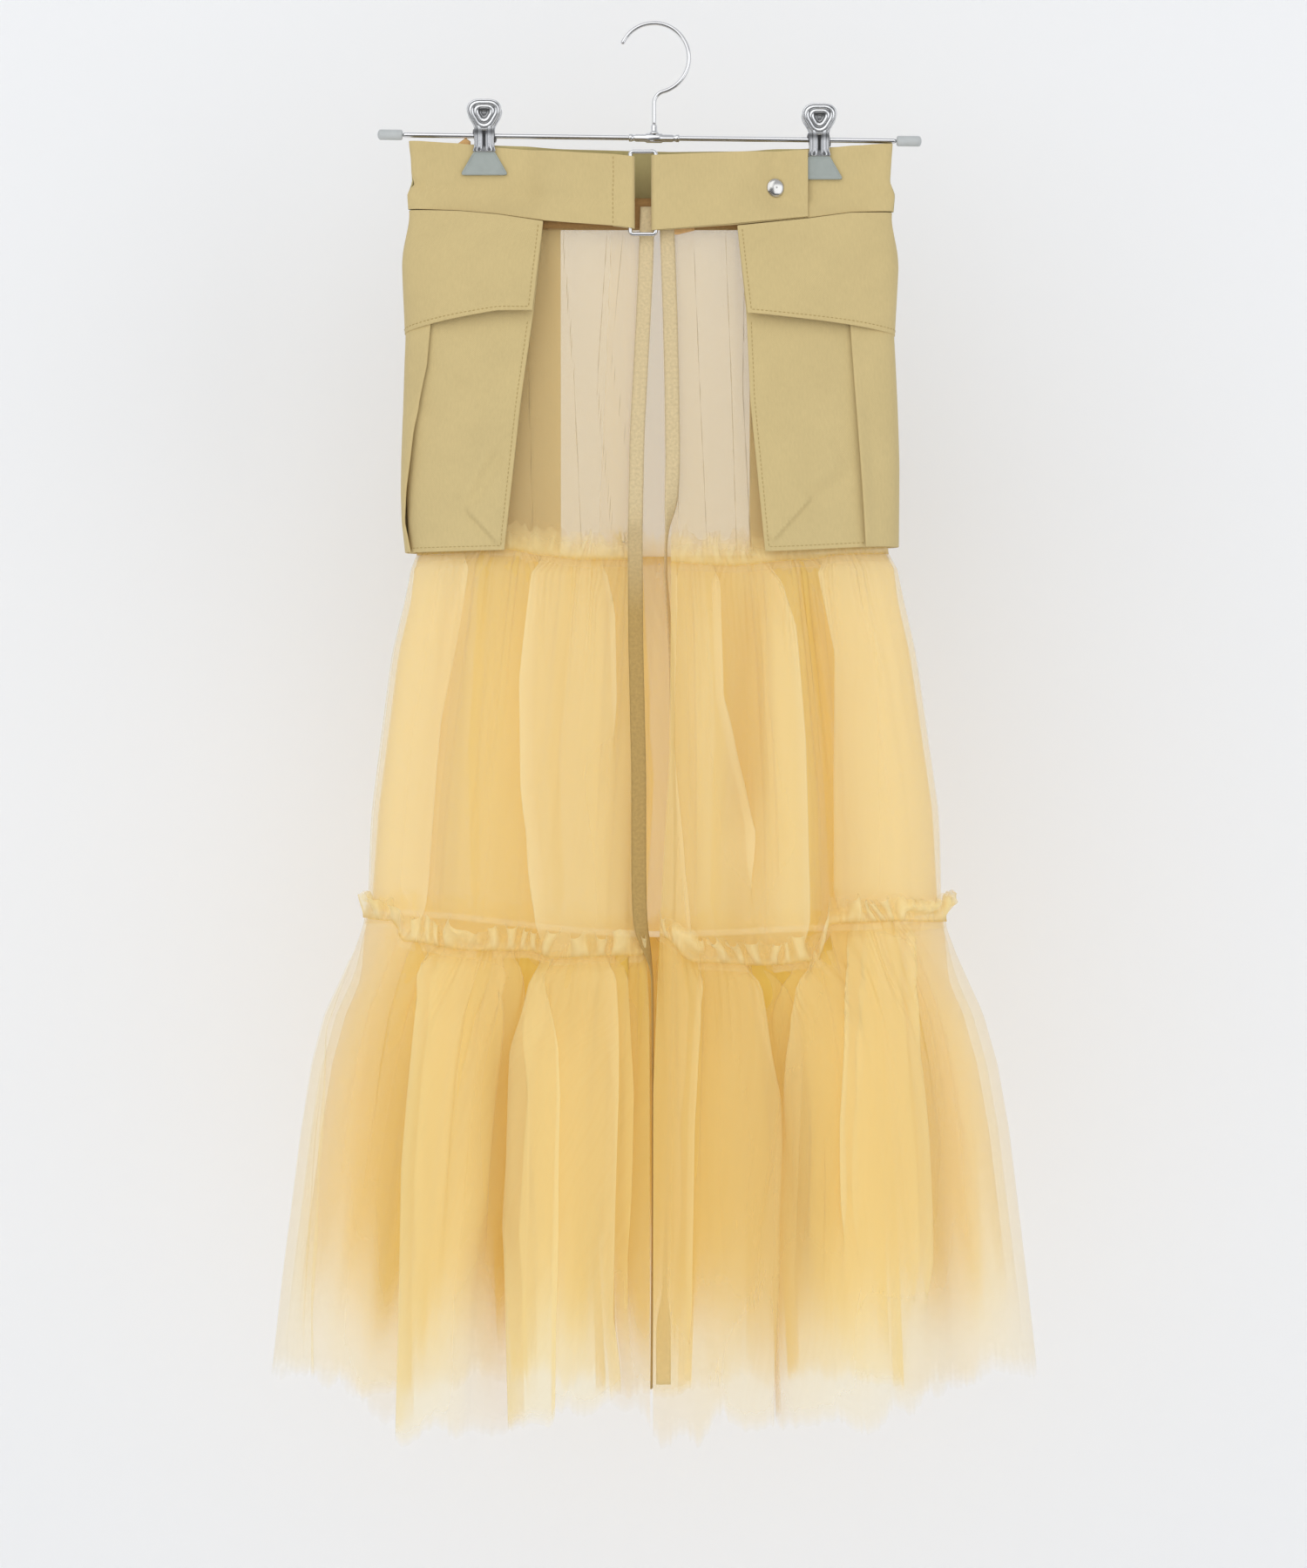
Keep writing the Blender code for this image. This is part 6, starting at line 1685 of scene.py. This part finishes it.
# ---------------------------------------------------------------- waist, tapes and ribbons
@dataclass(frozen=True)
class Trims:
    """The inner waistband, the two tie ribbons and the two hanging tapes."""

    band_top: float = -0.1200
    band_bottom: float = -0.1405
    squeeze: float = 0.92
    left_ribbon: tuple = (  # z, x, y, turn from facing the front in degrees
        (-0.1260, -0.0052, -0.0076, 0.0), (-0.1700, -0.0066, -0.0102, 0.0),
        (-0.2150, -0.0088, -0.0124, 0.0), (-0.2830, -0.0124, -0.0156, 0.0),
        (-0.3450, -0.0136, -0.0200, 0.0), (-0.3560, -0.0136, -0.0330, 0.0),
        (-0.3750, -0.0136, -0.0395, 0.0), (-0.4280, -0.0132, -0.0440, 0.0),
        (-0.5150, -0.0112, -0.0505, 0.0), (-0.5800, -0.0112, -0.0500, 2.0),
        (-0.6060, -0.0108, -0.0465, 6.0), (-0.6220, -0.0098, -0.0435, 20.0),
        (-0.6350, -0.0058, -0.0405, 60.0), (-0.6500, -0.0022, -0.0365, 86.0),
        (-0.7200, -0.0018, -0.0330, 88.0),
        (-0.8200, -0.0020, -0.0330, 88.0), (-0.9340, -0.0026, -0.0340, 84.0),
    )
    right_ribbon: tuple = (
        (-0.1260, 0.0076, -0.0076, 0.0), (-0.2000, 0.0102, -0.0118, 0.0),
        (-0.2490, 0.0114, -0.0142, 0.0), (-0.3000, 0.0120, -0.0175, 0.0),
        (-0.3300, 0.0110, -0.0215, 30.0), (-0.3450, 0.0084, -0.0200, 76.0),
        (-0.3600, 0.0072, -0.0110, 84.0), (-0.3800, 0.0072, -0.0060, 80.0),
        (-0.4300, 0.0110, -0.0050, 72.0), (-0.5600, 0.0138, -0.0080, 80.0),
        (-0.6600, 0.0120, -0.0110, 84.0), (-0.8000, 0.0080, -0.0150, 84.0),
        (-0.8760, 0.0062, -0.0160, 70.0), (-0.8950, 0.0056, -0.0160, 12.0),
        (-0.9340, 0.0056, -0.0160, 0.0),
    )

    def strip(self, rows: Sequence[tuple[float, float, float, float]], width: float,
              steps: int, bow: float = 0.0) -> Array:
        """A strip down its middle points: each row is turned about the vertical and slightly bowed.

        Args:
            rows: z, x, y and turn in degrees, top to bottom.
            width: the strip's width.
            steps: rows of the finished strip.
            bow: how far its middle stands in front of its edges.

        Returns:
            The strip's points, left edge to right edge.
        """
        table = np.array(rows)
        run = np.concatenate([[0.0], np.cumsum(np.linalg.norm(np.diff(table[:, :3], axis=0), axis=1))])
        where = np.linspace(0.0, run[-1], steps)
        values = np.stack([np.interp(where, run, table[:, column]) for column in range(4)], axis=-1)
        for _ in range(3):  # rounds the corners between the named places
            values[1:-1] = (values[:-2] + 2.0 * values[1:-1] + values[2:]) / 4.0
        turn = np.radians(values[:, 3])
        share = np.linspace(-1.0, 1.0, 7)
        sideways = np.stack([np.cos(turn), np.sin(turn), 0.0 * turn], axis=-1)
        forwards = np.stack([np.sin(turn), -np.cos(turn), 0.0 * turn], axis=-1)
        middle = values[:, [1, 2, 0]]
        return (middle[:, None] + sideways[:, None] * (share * width / 2)[None, :, None]
                + forwards[:, None] * (bow * (1.0 - share**2))[None, :, None])

    def build(self, shop: Workshop) -> None:
        """Makes the waistband ring and every strip."""
        clips = Clips()
        quarter = crowded(0.0, 1.0, 70)
        around = np.concatenate([quarter, 2.0 - quarter[-2::-1]])
        around = np.concatenate([around, 4.0 - around[-2:0:-1]])
        z = np.linspace(self.band_top, self.band_bottom, 6)[:, None]
        pucker = 0.0003 * np.cos(2.0 * math.pi * 22.0 * around) * np.sin(
            math.pi * np.linspace(0.0, 1.0, 6))[:, None]
        grid = SKIRT.place(around + 0.0 * z, z + 0.0 * around, pucker)
        grid[..., 1] *= 1.0 - clips.squeeze(grid[..., 0], z) * self.squeeze
        shop.sheet("inner_waistband_ring", grid, BROWN_AND_SHADED_TAPE,
                   ["inner_waistband"], wall=0.0011, loop=True)
        for here, rows, finish in (("left", self.left_ribbon, RIBBON_SHADED_BELOW),
                                   ("right", self.right_ribbon, HIDDEN_RIBBON)):
            shop.sheet(f"ribbon_{here}_tie", self.strip(rows, 0.010, 200, 0.0005), finish,
                       [f"ribbon_{here}"], wall=0.0006)
        loop = self.strip(((-0.0775, -0.1320, 0.0006, 0.0), (-0.0980, -0.1310, 0.0004, 0.0),
                           (-0.1192, -0.1300, 0.0, 0.0)), 0.0095, 30)
        peak = np.linspace(-1.0, 1.0, 7)
        loop[:8, :, 2] -= (0.0035 * np.abs(peak - 0.3))[None, :] * np.linspace(1.0, 0.0, 8)[:, None]
        shop.sheet("hanging_loop_left", loop, LOOP_TAPE, ["hanging_tape_left"], wall=0.0009)
        low = self.strip(((-0.1300, 0.0180, -0.0078, 0.0), (-0.1455, 0.0180, -0.0086, 0.0)), 0.0180, 16)
        low[-6:, :, 2] += (0.0022 * np.abs(peak + 0.4))[None, :] * np.linspace(0.0, 1.0, 6)[:, None]
        shop.sheet("hanging_loop_front", low, LOOP_TAPE, ["hanging_tape_front"], wall=0.0008)


# ---------------------------------------------------------------- hanger
@dataclass(frozen=True)
class Hanger:
    """The wire hook and the rod with its sleeve and caps; the two clips are each made by a Clip."""

    wire: float = 0.0015
    hook_radius: float = 0.0240
    stem_x: float = -0.0008
    rod_radius: float = 0.0018
    rod_z: float = -0.0777
    tilt: float = 0.0123
    rod_ends: tuple[float, float] = (-0.1740, 0.1662)
    socket_top: float = -0.0690

    def rod_height(self, x: float) -> float:
        """The rod's height at a place across."""
        return self.rod_z - self.tilt * (x - self.stem_x)

    def along_rod(self, x: float) -> Matrix:
        """Stands a turned piece's axis along the rod, its origin at x."""
        return Matrix.Translation((x, 0.0, self.rod_height(x))) @ Matrix.Rotation(
            math.pi / 2 + self.tilt, 4, "Y")

    def build_hook(self, shop: Workshop) -> None:
        """The hook: an arc over the top, a bend the other way, and the straight stem."""
        centre = np.array([self.stem_x, 0.0, self.wire - self.hook_radius])
        angle = np.radians(np.linspace(157.0, -75.0, 70))
        arc = centre + self.hook_radius * np.stack([np.cos(angle), 0 * angle, np.sin(angle)], axis=-1)
        end = math.radians(-75.0)
        bend = self.hook_radius * math.cos(end) / (1.0 - math.cos(end))
        pivot = centre + (self.hook_radius + bend) * np.array([math.cos(end), 0.0, math.sin(end)])
        angle = np.linspace(end + math.pi, math.pi, 16)[1:]
        curl = pivot + bend * np.stack([np.cos(angle), 0 * angle, np.sin(angle)], axis=-1)
        stem = np.linspace(curl[-1], (curl[-1][0], 0.0, self.socket_top + 0.0003), 8)[1:]
        hook = wire_piece("hook_wire", np.concatenate([arc, curl, stem]), self.wire)
        shop.dress(hook, STEEL, "hook")

    def build_rod(self, shop: Workshop) -> None:
        """The rod, its cross sleeve with crimped ends, the stem's socket and the rubber caps."""
        low, high = self.rod_ends
        ends = np.array([[low, 0.0, self.rod_height(low)], [high, 0.0, self.rod_height(high)]])
        path = np.linspace(ends[0], ends[1], 30)
        shop.dress(wire_piece("rod_wire", path, self.rod_radius, 24), STEEL, "rod")
        inner, outer, half = self.rod_radius + 0.0001, 0.0027, 0.0175
        sleeve = [(inner, half), (outer - 0.0004, half), (outer, half - 0.0006), (outer, half - 0.0022),
                  (outer - 0.0005, half - 0.0030), (outer - 0.0005, half - 0.0042), (outer, half - 0.0050),
                  (outer, 0.0062), (outer + 0.0007, 0.0050)]
        sleeve += [(radius, -height) for radius, height in reversed(sleeve)]
        shop.dress(lathe("cross_sleeve_tube", sleeve, self.along_rod(self.stem_x)), STEEL,
                   "cross_sleeve")
        top, foot = self.socket_top, self.rod_z + 0.0024
        socket = [(0.0, top + 0.0004), (0.0017, top + 0.0004), (0.0021, top), (0.0022, top - 0.0008),
                  (0.0022, foot + 0.0028), (0.0028, foot + 0.0016), (0.0036, foot + 0.0008),
                  (0.0034, foot), (0.0, foot)]
        where = Matrix.Translation((self.stem_x, 0.0, 0.0))
        shop.dress(lathe("stem_socket_tube", socket, where), STEEL, "stem_socket")
        for side, end in ((Side.LEFT, low), (Side.RIGHT, high)):
            angle = np.linspace(0.0, math.pi / 2, 10)
            nose = [(0.0036 * math.cos(a), -0.0150 - 0.0022 * math.sin(a)) for a in angle]
            cap = [(0.0, 0.0), (0.0026, 0.0), (0.0034, -0.0006), (0.0036, -0.0014)] + nose
            where = self.along_rod(end)
            if side is Side.RIGHT:
                where = where @ Matrix.Rotation(math.pi, 4, "X")
            shop.dress(lathe(f"end_cap_{side.value}_rubber", cap, where), CAP_RUBBER,
                       f"end_cap_{side.value}")


@dataclass(frozen=True)
class Clip:
    """A spring clip: two stamped plates with finger loops, and vinyl pads that grip the waist."""

    x: float
    top: float
    side: Side
    plate: float = 0.0008
    pad: float = 0.0022
    pad_height: float = 0.0156
    pad_inner: float = 0.00255
    plate_height: float = 0.0366
    lean: float = math.radians(8.5)

    def outline(self, count: int = 72) -> Array:
        """The finger loop's edge about its own middle: a rounded triangle, wide above, narrow below.

        Its radius at angle a is r*(1 + k*cos(3(a - 90))), squashed a little in height.
        """
        angle = np.linspace(0.0, 2.0 * math.pi, count, endpoint=False)
        radius = 0.0104 * (1.0 - 0.115 * np.cos(3.0 * (angle - math.pi / 2)) - 0.015 * np.sin(angle))
        return np.stack([radius * np.cos(angle) * 1.03, radius * np.sin(angle) * 0.97], axis=-1)

    def handle(self, name: str) -> bpy.types.Object:
        """The finger loop: rings of its outline, drawn in step by step, at embossed heights."""
        profile = np.array((
            (1.00, 0.0, 0.4), (1.02, 0.0005, 0.3), (1.00, 0.0010, 0.2), (0.96, 0.0010, 0.4),
            (0.93, 0.0008, 0.9), (0.89, 0.0010, 0.3), (0.85, 0.0012, 0.0), (0.78, 0.0013, 0.0),
            (0.72, 0.0011, 0.1), (0.68, 0.0007, 0.8), (0.63, 0.0005, 1.0), (0.59, 0.0008, 0.5),
            (0.55, 0.0011, 0.0), (0.48, 0.0012, 0.0), (0.42, 0.0010, 0.1), (0.38, 0.0007, 0.7),
            (0.34, 0.0006, 1.0), (0.28, 0.0006, 0.8), (0.22, 0.0006, 0.8), (0.18, 0.0, 1.0),
            (0.17, -0.0006, 1.0)))  # scale, lift, groove (how much painted shade it gets)
        outline = self.outline()
        height = self.plate_height / math.cos(self.lean)
        places = np.array([0.0, height - 0.0100]) + outline[None] * profile[:, :1, None]
        lift = np.broadcast_to(profile[:, 1, None, None], (*places.shape[:2], 1))
        rings = np.concatenate([places, lift], axis=-1)
        # the stamped grooves between the rings get painted shade by this mark
        groove_shade = np.broadcast_to(profile[:, 2, None], places.shape[:2])
        return grid_mesh(name, rings, True, {"groove_shade": groove_shade}, cloth=False)

    def neck(self, name: str) -> bpy.types.Object:
        """The neck from the pad to the loop: two raised ribs beside a channel, flared at its foot."""
        height = self.plate_height / math.cos(self.lean)
        across = np.linspace(-1.0, 1.0, 37)[:, None]
        up = np.linspace(0.0006, height - 0.0165, 28)[None, :]
        half = 0.0066 + 0.0012 * smooth_step((0.006 - up) / 0.006) + 0.0012 * smooth_step(
            (up - height + 0.0215) / 0.006)
        ribs = 0.0011 * bell(np.abs(across) - 0.50, 0.16) + 0.0004 * bell(np.abs(across) - 0.92, 0.10)
        ends = smooth_step((up - 0.001) / 0.003) * smooth_step((height - 0.0170 - up) / 0.004)
        lift = 0.0004 + ribs * (0.35 + 0.65 * ends)
        grid = np.stack([across * half, up + 0.0 * across, lift + 0.0 * up], axis=-1)
        # painted shade in the channels beside the ribs, in the slot and in a band near the neck's top
        beside = 0.55 * bell(np.abs(across) - 0.76, 0.09)
        slot = bell(across, 0.22) * smooth_step((up - 0.003) / 0.002)
        groove_shade = np.clip(slot + beside + 0.8 * bell(up - (height - 0.0225), 0.0022), 0.0, 1.0)
        return grid_mesh(name, np.swapaxes(grid, 0, 1), False, {"groove_shade": groove_shade.T}, cloth=False)

    def grip(self, name: str) -> bpy.types.Object:
        """The pad: a rounded trapezoid with a raised rim and eased edges."""
        corners = np.array([[-0.0166, -self.pad_height], [0.0166, -self.pad_height],
                            [0.0074, 0.0004], [-0.0074, 0.0004]])
        ahead = np.roll(corners, -1, axis=0) - corners
        ahead /= np.linalg.norm(ahead, axis=1, keepdims=True)
        behind = -np.roll(ahead, 1, axis=0)
        cut = 0.0017 / np.tan(np.arccos(np.sum(ahead * behind, axis=1)) / 2)[:, None]
        start, end = corners + behind * cut, corners + ahead * cut  # of each corner's round
        share = np.linspace(0.0, 1.0, 8)[:, None, None]
        rounds = (1 - share) ** 2 * start + 2 * share * (1 - share) * corners + share**2 * end
        run = np.linspace(0.0, 1.0, 10)[1:-1, None, None]
        straights = end * (1 - run) + np.roll(start, -1, axis=0) * run
        outline = np.swapaxes(np.concatenate([rounds, straights]), 0, 1).reshape(-1, 2)
        centre = np.array([0.0, -0.0092])
        profile = ((0.97, -0.0011), (1.00, -0.0008), (1.00, 0.0006), (0.985, 0.0010), (0.95, 0.0011),
                   (0.92, 0.0011), (0.90, 0.0008), (0.87, 0.0007), (0.5, 0.0009), (0.02, 0.0010))
        rings = np.stack([np.concatenate([centre + (outline - centre) * scale,
                                          np.full((len(outline), 1), lift)], axis=1)
                          for scale, lift in profile])
        return grid_mesh(name, rings, loop=True, cloth=False)

    def spring(self) -> Array:
        """The coil round the rod: a helix of seven turns."""
        turn = np.linspace(0.0, 7.0 * 2.0 * math.pi, 300)
        length = np.linspace(-0.0078, 0.0078, 300)
        return np.stack([length, 0.0040 * np.cos(turn), 0.0040 * np.sin(turn)], axis=-1)

    def build(self, shop: Workshop, hanger: Hanger) -> None:
        """Makes both faces of the clip and its spring."""
        here = self.side.value
        foot_z = self.top - self.plate_height
        upright = Matrix.Rotation(math.pi / 2, 4, "X")
        for face, sign in (("front", -1.0), ("back", 1.0)):
            foot = Matrix.Translation((self.x, sign * (self.pad_inner + self.pad / 2), foot_z))
            turned = Matrix.Rotation(0.0 if sign < 0 else math.pi, 4, "Z")
            leaning = Matrix.Rotation(-sign * self.lean, 4, "X")
            loop = self.handle(f"clip_plate_{face}_{here}_loop")
            neck = self.neck(f"clip_plate_{face}_{here}_neck")
            for piece in (loop, neck):
                piece.data.transform(foot @ leaning @ turned @ upright)
                thicken(piece, 0.0005, offset=-1.0)
            shop.dress(loop, STAMPED, f"clip_plate_{face}_{here}")
            shop.dress(neck, SHADED_NECK_STEEL)
            grip = self.grip(f"clip_pad_{face}_{here}_grip")
            grip.data.transform(foot @ turned @ upright)
            close_ends(grip)
            shop.dress(grip, PAD_VINYL, f"clip_pad_{face}_{here}")
        coil = wire_piece(f"clip_spring_{here}_coil", self.spring(), 0.0007, 8, (1.0, 0.0, 0.0))
        coil.data.transform(Matrix.Translation((self.x, 0.0, hanger.rod_height(self.x))))
        shop.dress(coil, DARK_STEEL, f"clip_spring_{here}")


# ---------------------------------------------------------------- studio
@dataclass(frozen=True)
class Studio:
    """A pale wall behind the skirt, a pale floor well below it, soft lights and the camera."""

    wall_y: float = 0.30
    floor_z: float = -1.45

    def card(self, name: str, corners: Sequence[Sequence[float]], colour: Sequence[float],
             one_sided: bool) -> None:
        """A large flat card that isn't part of the object; one-sided cards vanish from behind."""
        piece = soup_mesh(name, np.array(corners), np.array([[0, 1, 2, 3]]))
        material, tree, shader = fresh_material(name)
        shader.inputs["Roughness"].default_value = 0.9
        shader.inputs["Specular IOR Level"].default_value = 0.1
        place = tree.add("TexCoord")
        clouds = tree.add("TexNoise", Vector=place.outputs["Object"], Scale=1.2, Detail=1.0)
        tree.link(tinted(tree, clouds.outputs["Fac"], shade(colour, 0.992), shade(colour, 1.004)),
                  shader.inputs["Base Color"])
        if one_sided:
            clear = tree.add("BsdfTransparent")
            side = tree.add("NewGeometry")
            mix = tree.add("MixShader", Fac=side.outputs["Backfacing"])
            tree.link(shader.outputs[0], mix.inputs[1])
            tree.link(clear.outputs[0], mix.inputs[2])
            tree.link(mix.outputs[0], tree.tree.nodes["Material Output"].inputs["Surface"])
        piece.data.materials.append(material)

    def flag(self, name: str, corners: Sequence[Sequence[float]], tone: float) -> None:
        """A dark card that only polished metal sees, as it sees the unlit side of a room."""
        piece = soup_mesh(name, np.array(corners), np.array([[0, 1, 2, 3]]))
        material, tree, shader = fresh_material(name)
        shader.inputs["Base Color"].default_value = (tone, tone, tone, 1.0)
        shader.inputs["Roughness"].default_value = 1.0
        piece.data.materials.append(material)
        for ray in ("visible_camera", "visible_diffuse", "visible_transmission", "visible_shadow"):
            setattr(piece, ray, False)

    def lamp(self, name: str, place: Sequence[float], aim: Sequence[float], size: float,
             power: float, colour: Sequence[float] = (1.0, 1.0, 1.0)) -> None:
        """A square soft light aimed at a place."""
        data = bpy.data.lights.new(name, "AREA")
        data.size = size
        data.energy = power
        data.color = colour
        lamp = bpy.data.objects.new(name, data)
        lamp.location = place
        lamp.rotation_euler = (Vector(aim) - Vector(place)).to_track_quat("-Z", "Y").to_euler()
        bpy.context.scene.collection.objects.link(lamp)

    def build(self) -> None:
        """Makes the stage, the lights, the world and the camera."""
        y, z = self.wall_y, self.floor_z
        self.card("wall", [[-4, y, z], [4, y, z], [4, y, 2.5], [-4, y, 2.5]],
                  (0.91, 0.917, 0.935), True)
        self.card("floor", [[-4, -5, z], [4, -5, z], [4, 5, z], [-4, 5, z]],
                  (0.86, 0.86, 0.85), False)
        self.flag("room_front", [[-1.6, -3.6, -3.0], [1.6, -3.6, -3.0], [1.6, -3.6, 0.35],
                                 [-1.6, -3.6, 0.35]], 0.26)
        self.flag("room_low", [[-2.5, -3.2, -1.2], [2.5, -3.2, -1.2], [2.5, -0.8, -1.44],
                               [-2.5, -0.8, -1.44]], 0.12)
        middle = (0.0, 0.0, -0.5)
        self.lamp("key", (-0.9, -2.9, 0.9), middle, 4.6, 58.0, (1.0, 1.0, 0.99))
        self.lamp("fill", (2.2, -2.4, -0.2), middle, 2.2, 14.0, (0.98, 0.99, 1.0))
        world = bpy.data.worlds.new("studio")
        world.use_nodes = True
        shader = world.node_tree.nodes["Background"]
        shader.inputs["Color"].default_value = (0.95, 0.97, 1.0, 1.0)
        shader.inputs["Strength"].default_value = 0.58
        bpy.context.scene.world = world
        data = bpy.data.cameras.new("camera")
        data.lens = 100.0
        data.sensor_width = 36.0
        data.clip_end = 50.0
        camera = bpy.data.objects.new("camera", data)
        camera.location = (-0.0012, -3.0, -0.5226)
        camera.rotation_euler = (math.pi / 2, 0.0, 0.0)
        bpy.context.scene.collection.objects.link(camera)
        scene = bpy.context.scene
        scene.camera = camera
        scene.view_settings.view_transform = "Standard"
        scene.cycles.transparent_max_bounces = 48


def main() -> None:
    """Builds the sub-assemblies in order."""
    logging.basicConfig(level=logging.INFO, format="%(message)s")
    Studio().build()
    shop = Workshop()
    hanger = Hanger()
    hanger.build_hook(shop)
    hanger.build_rod(shop)
    for clip in (Clip(-0.1176, -0.0516, Side.LEFT), Clip(0.1128, -0.0546, Side.RIGHT)):
        clip.build(shop, hanger)
    belt = Belt()
    strap = belt.build_bands(shop)
    belt.build_ring(shop)
    belt.build_snap(shop, strap)
    for side in Side:
        Pocket(side, POCKETS[side]).build(shop)
    Trims().build(shop)
    Skirt().build(shop)
    LOG.info("all pieces: %d triangles before their walls", shop.triangles)


if __name__ == "__main__":
    main()
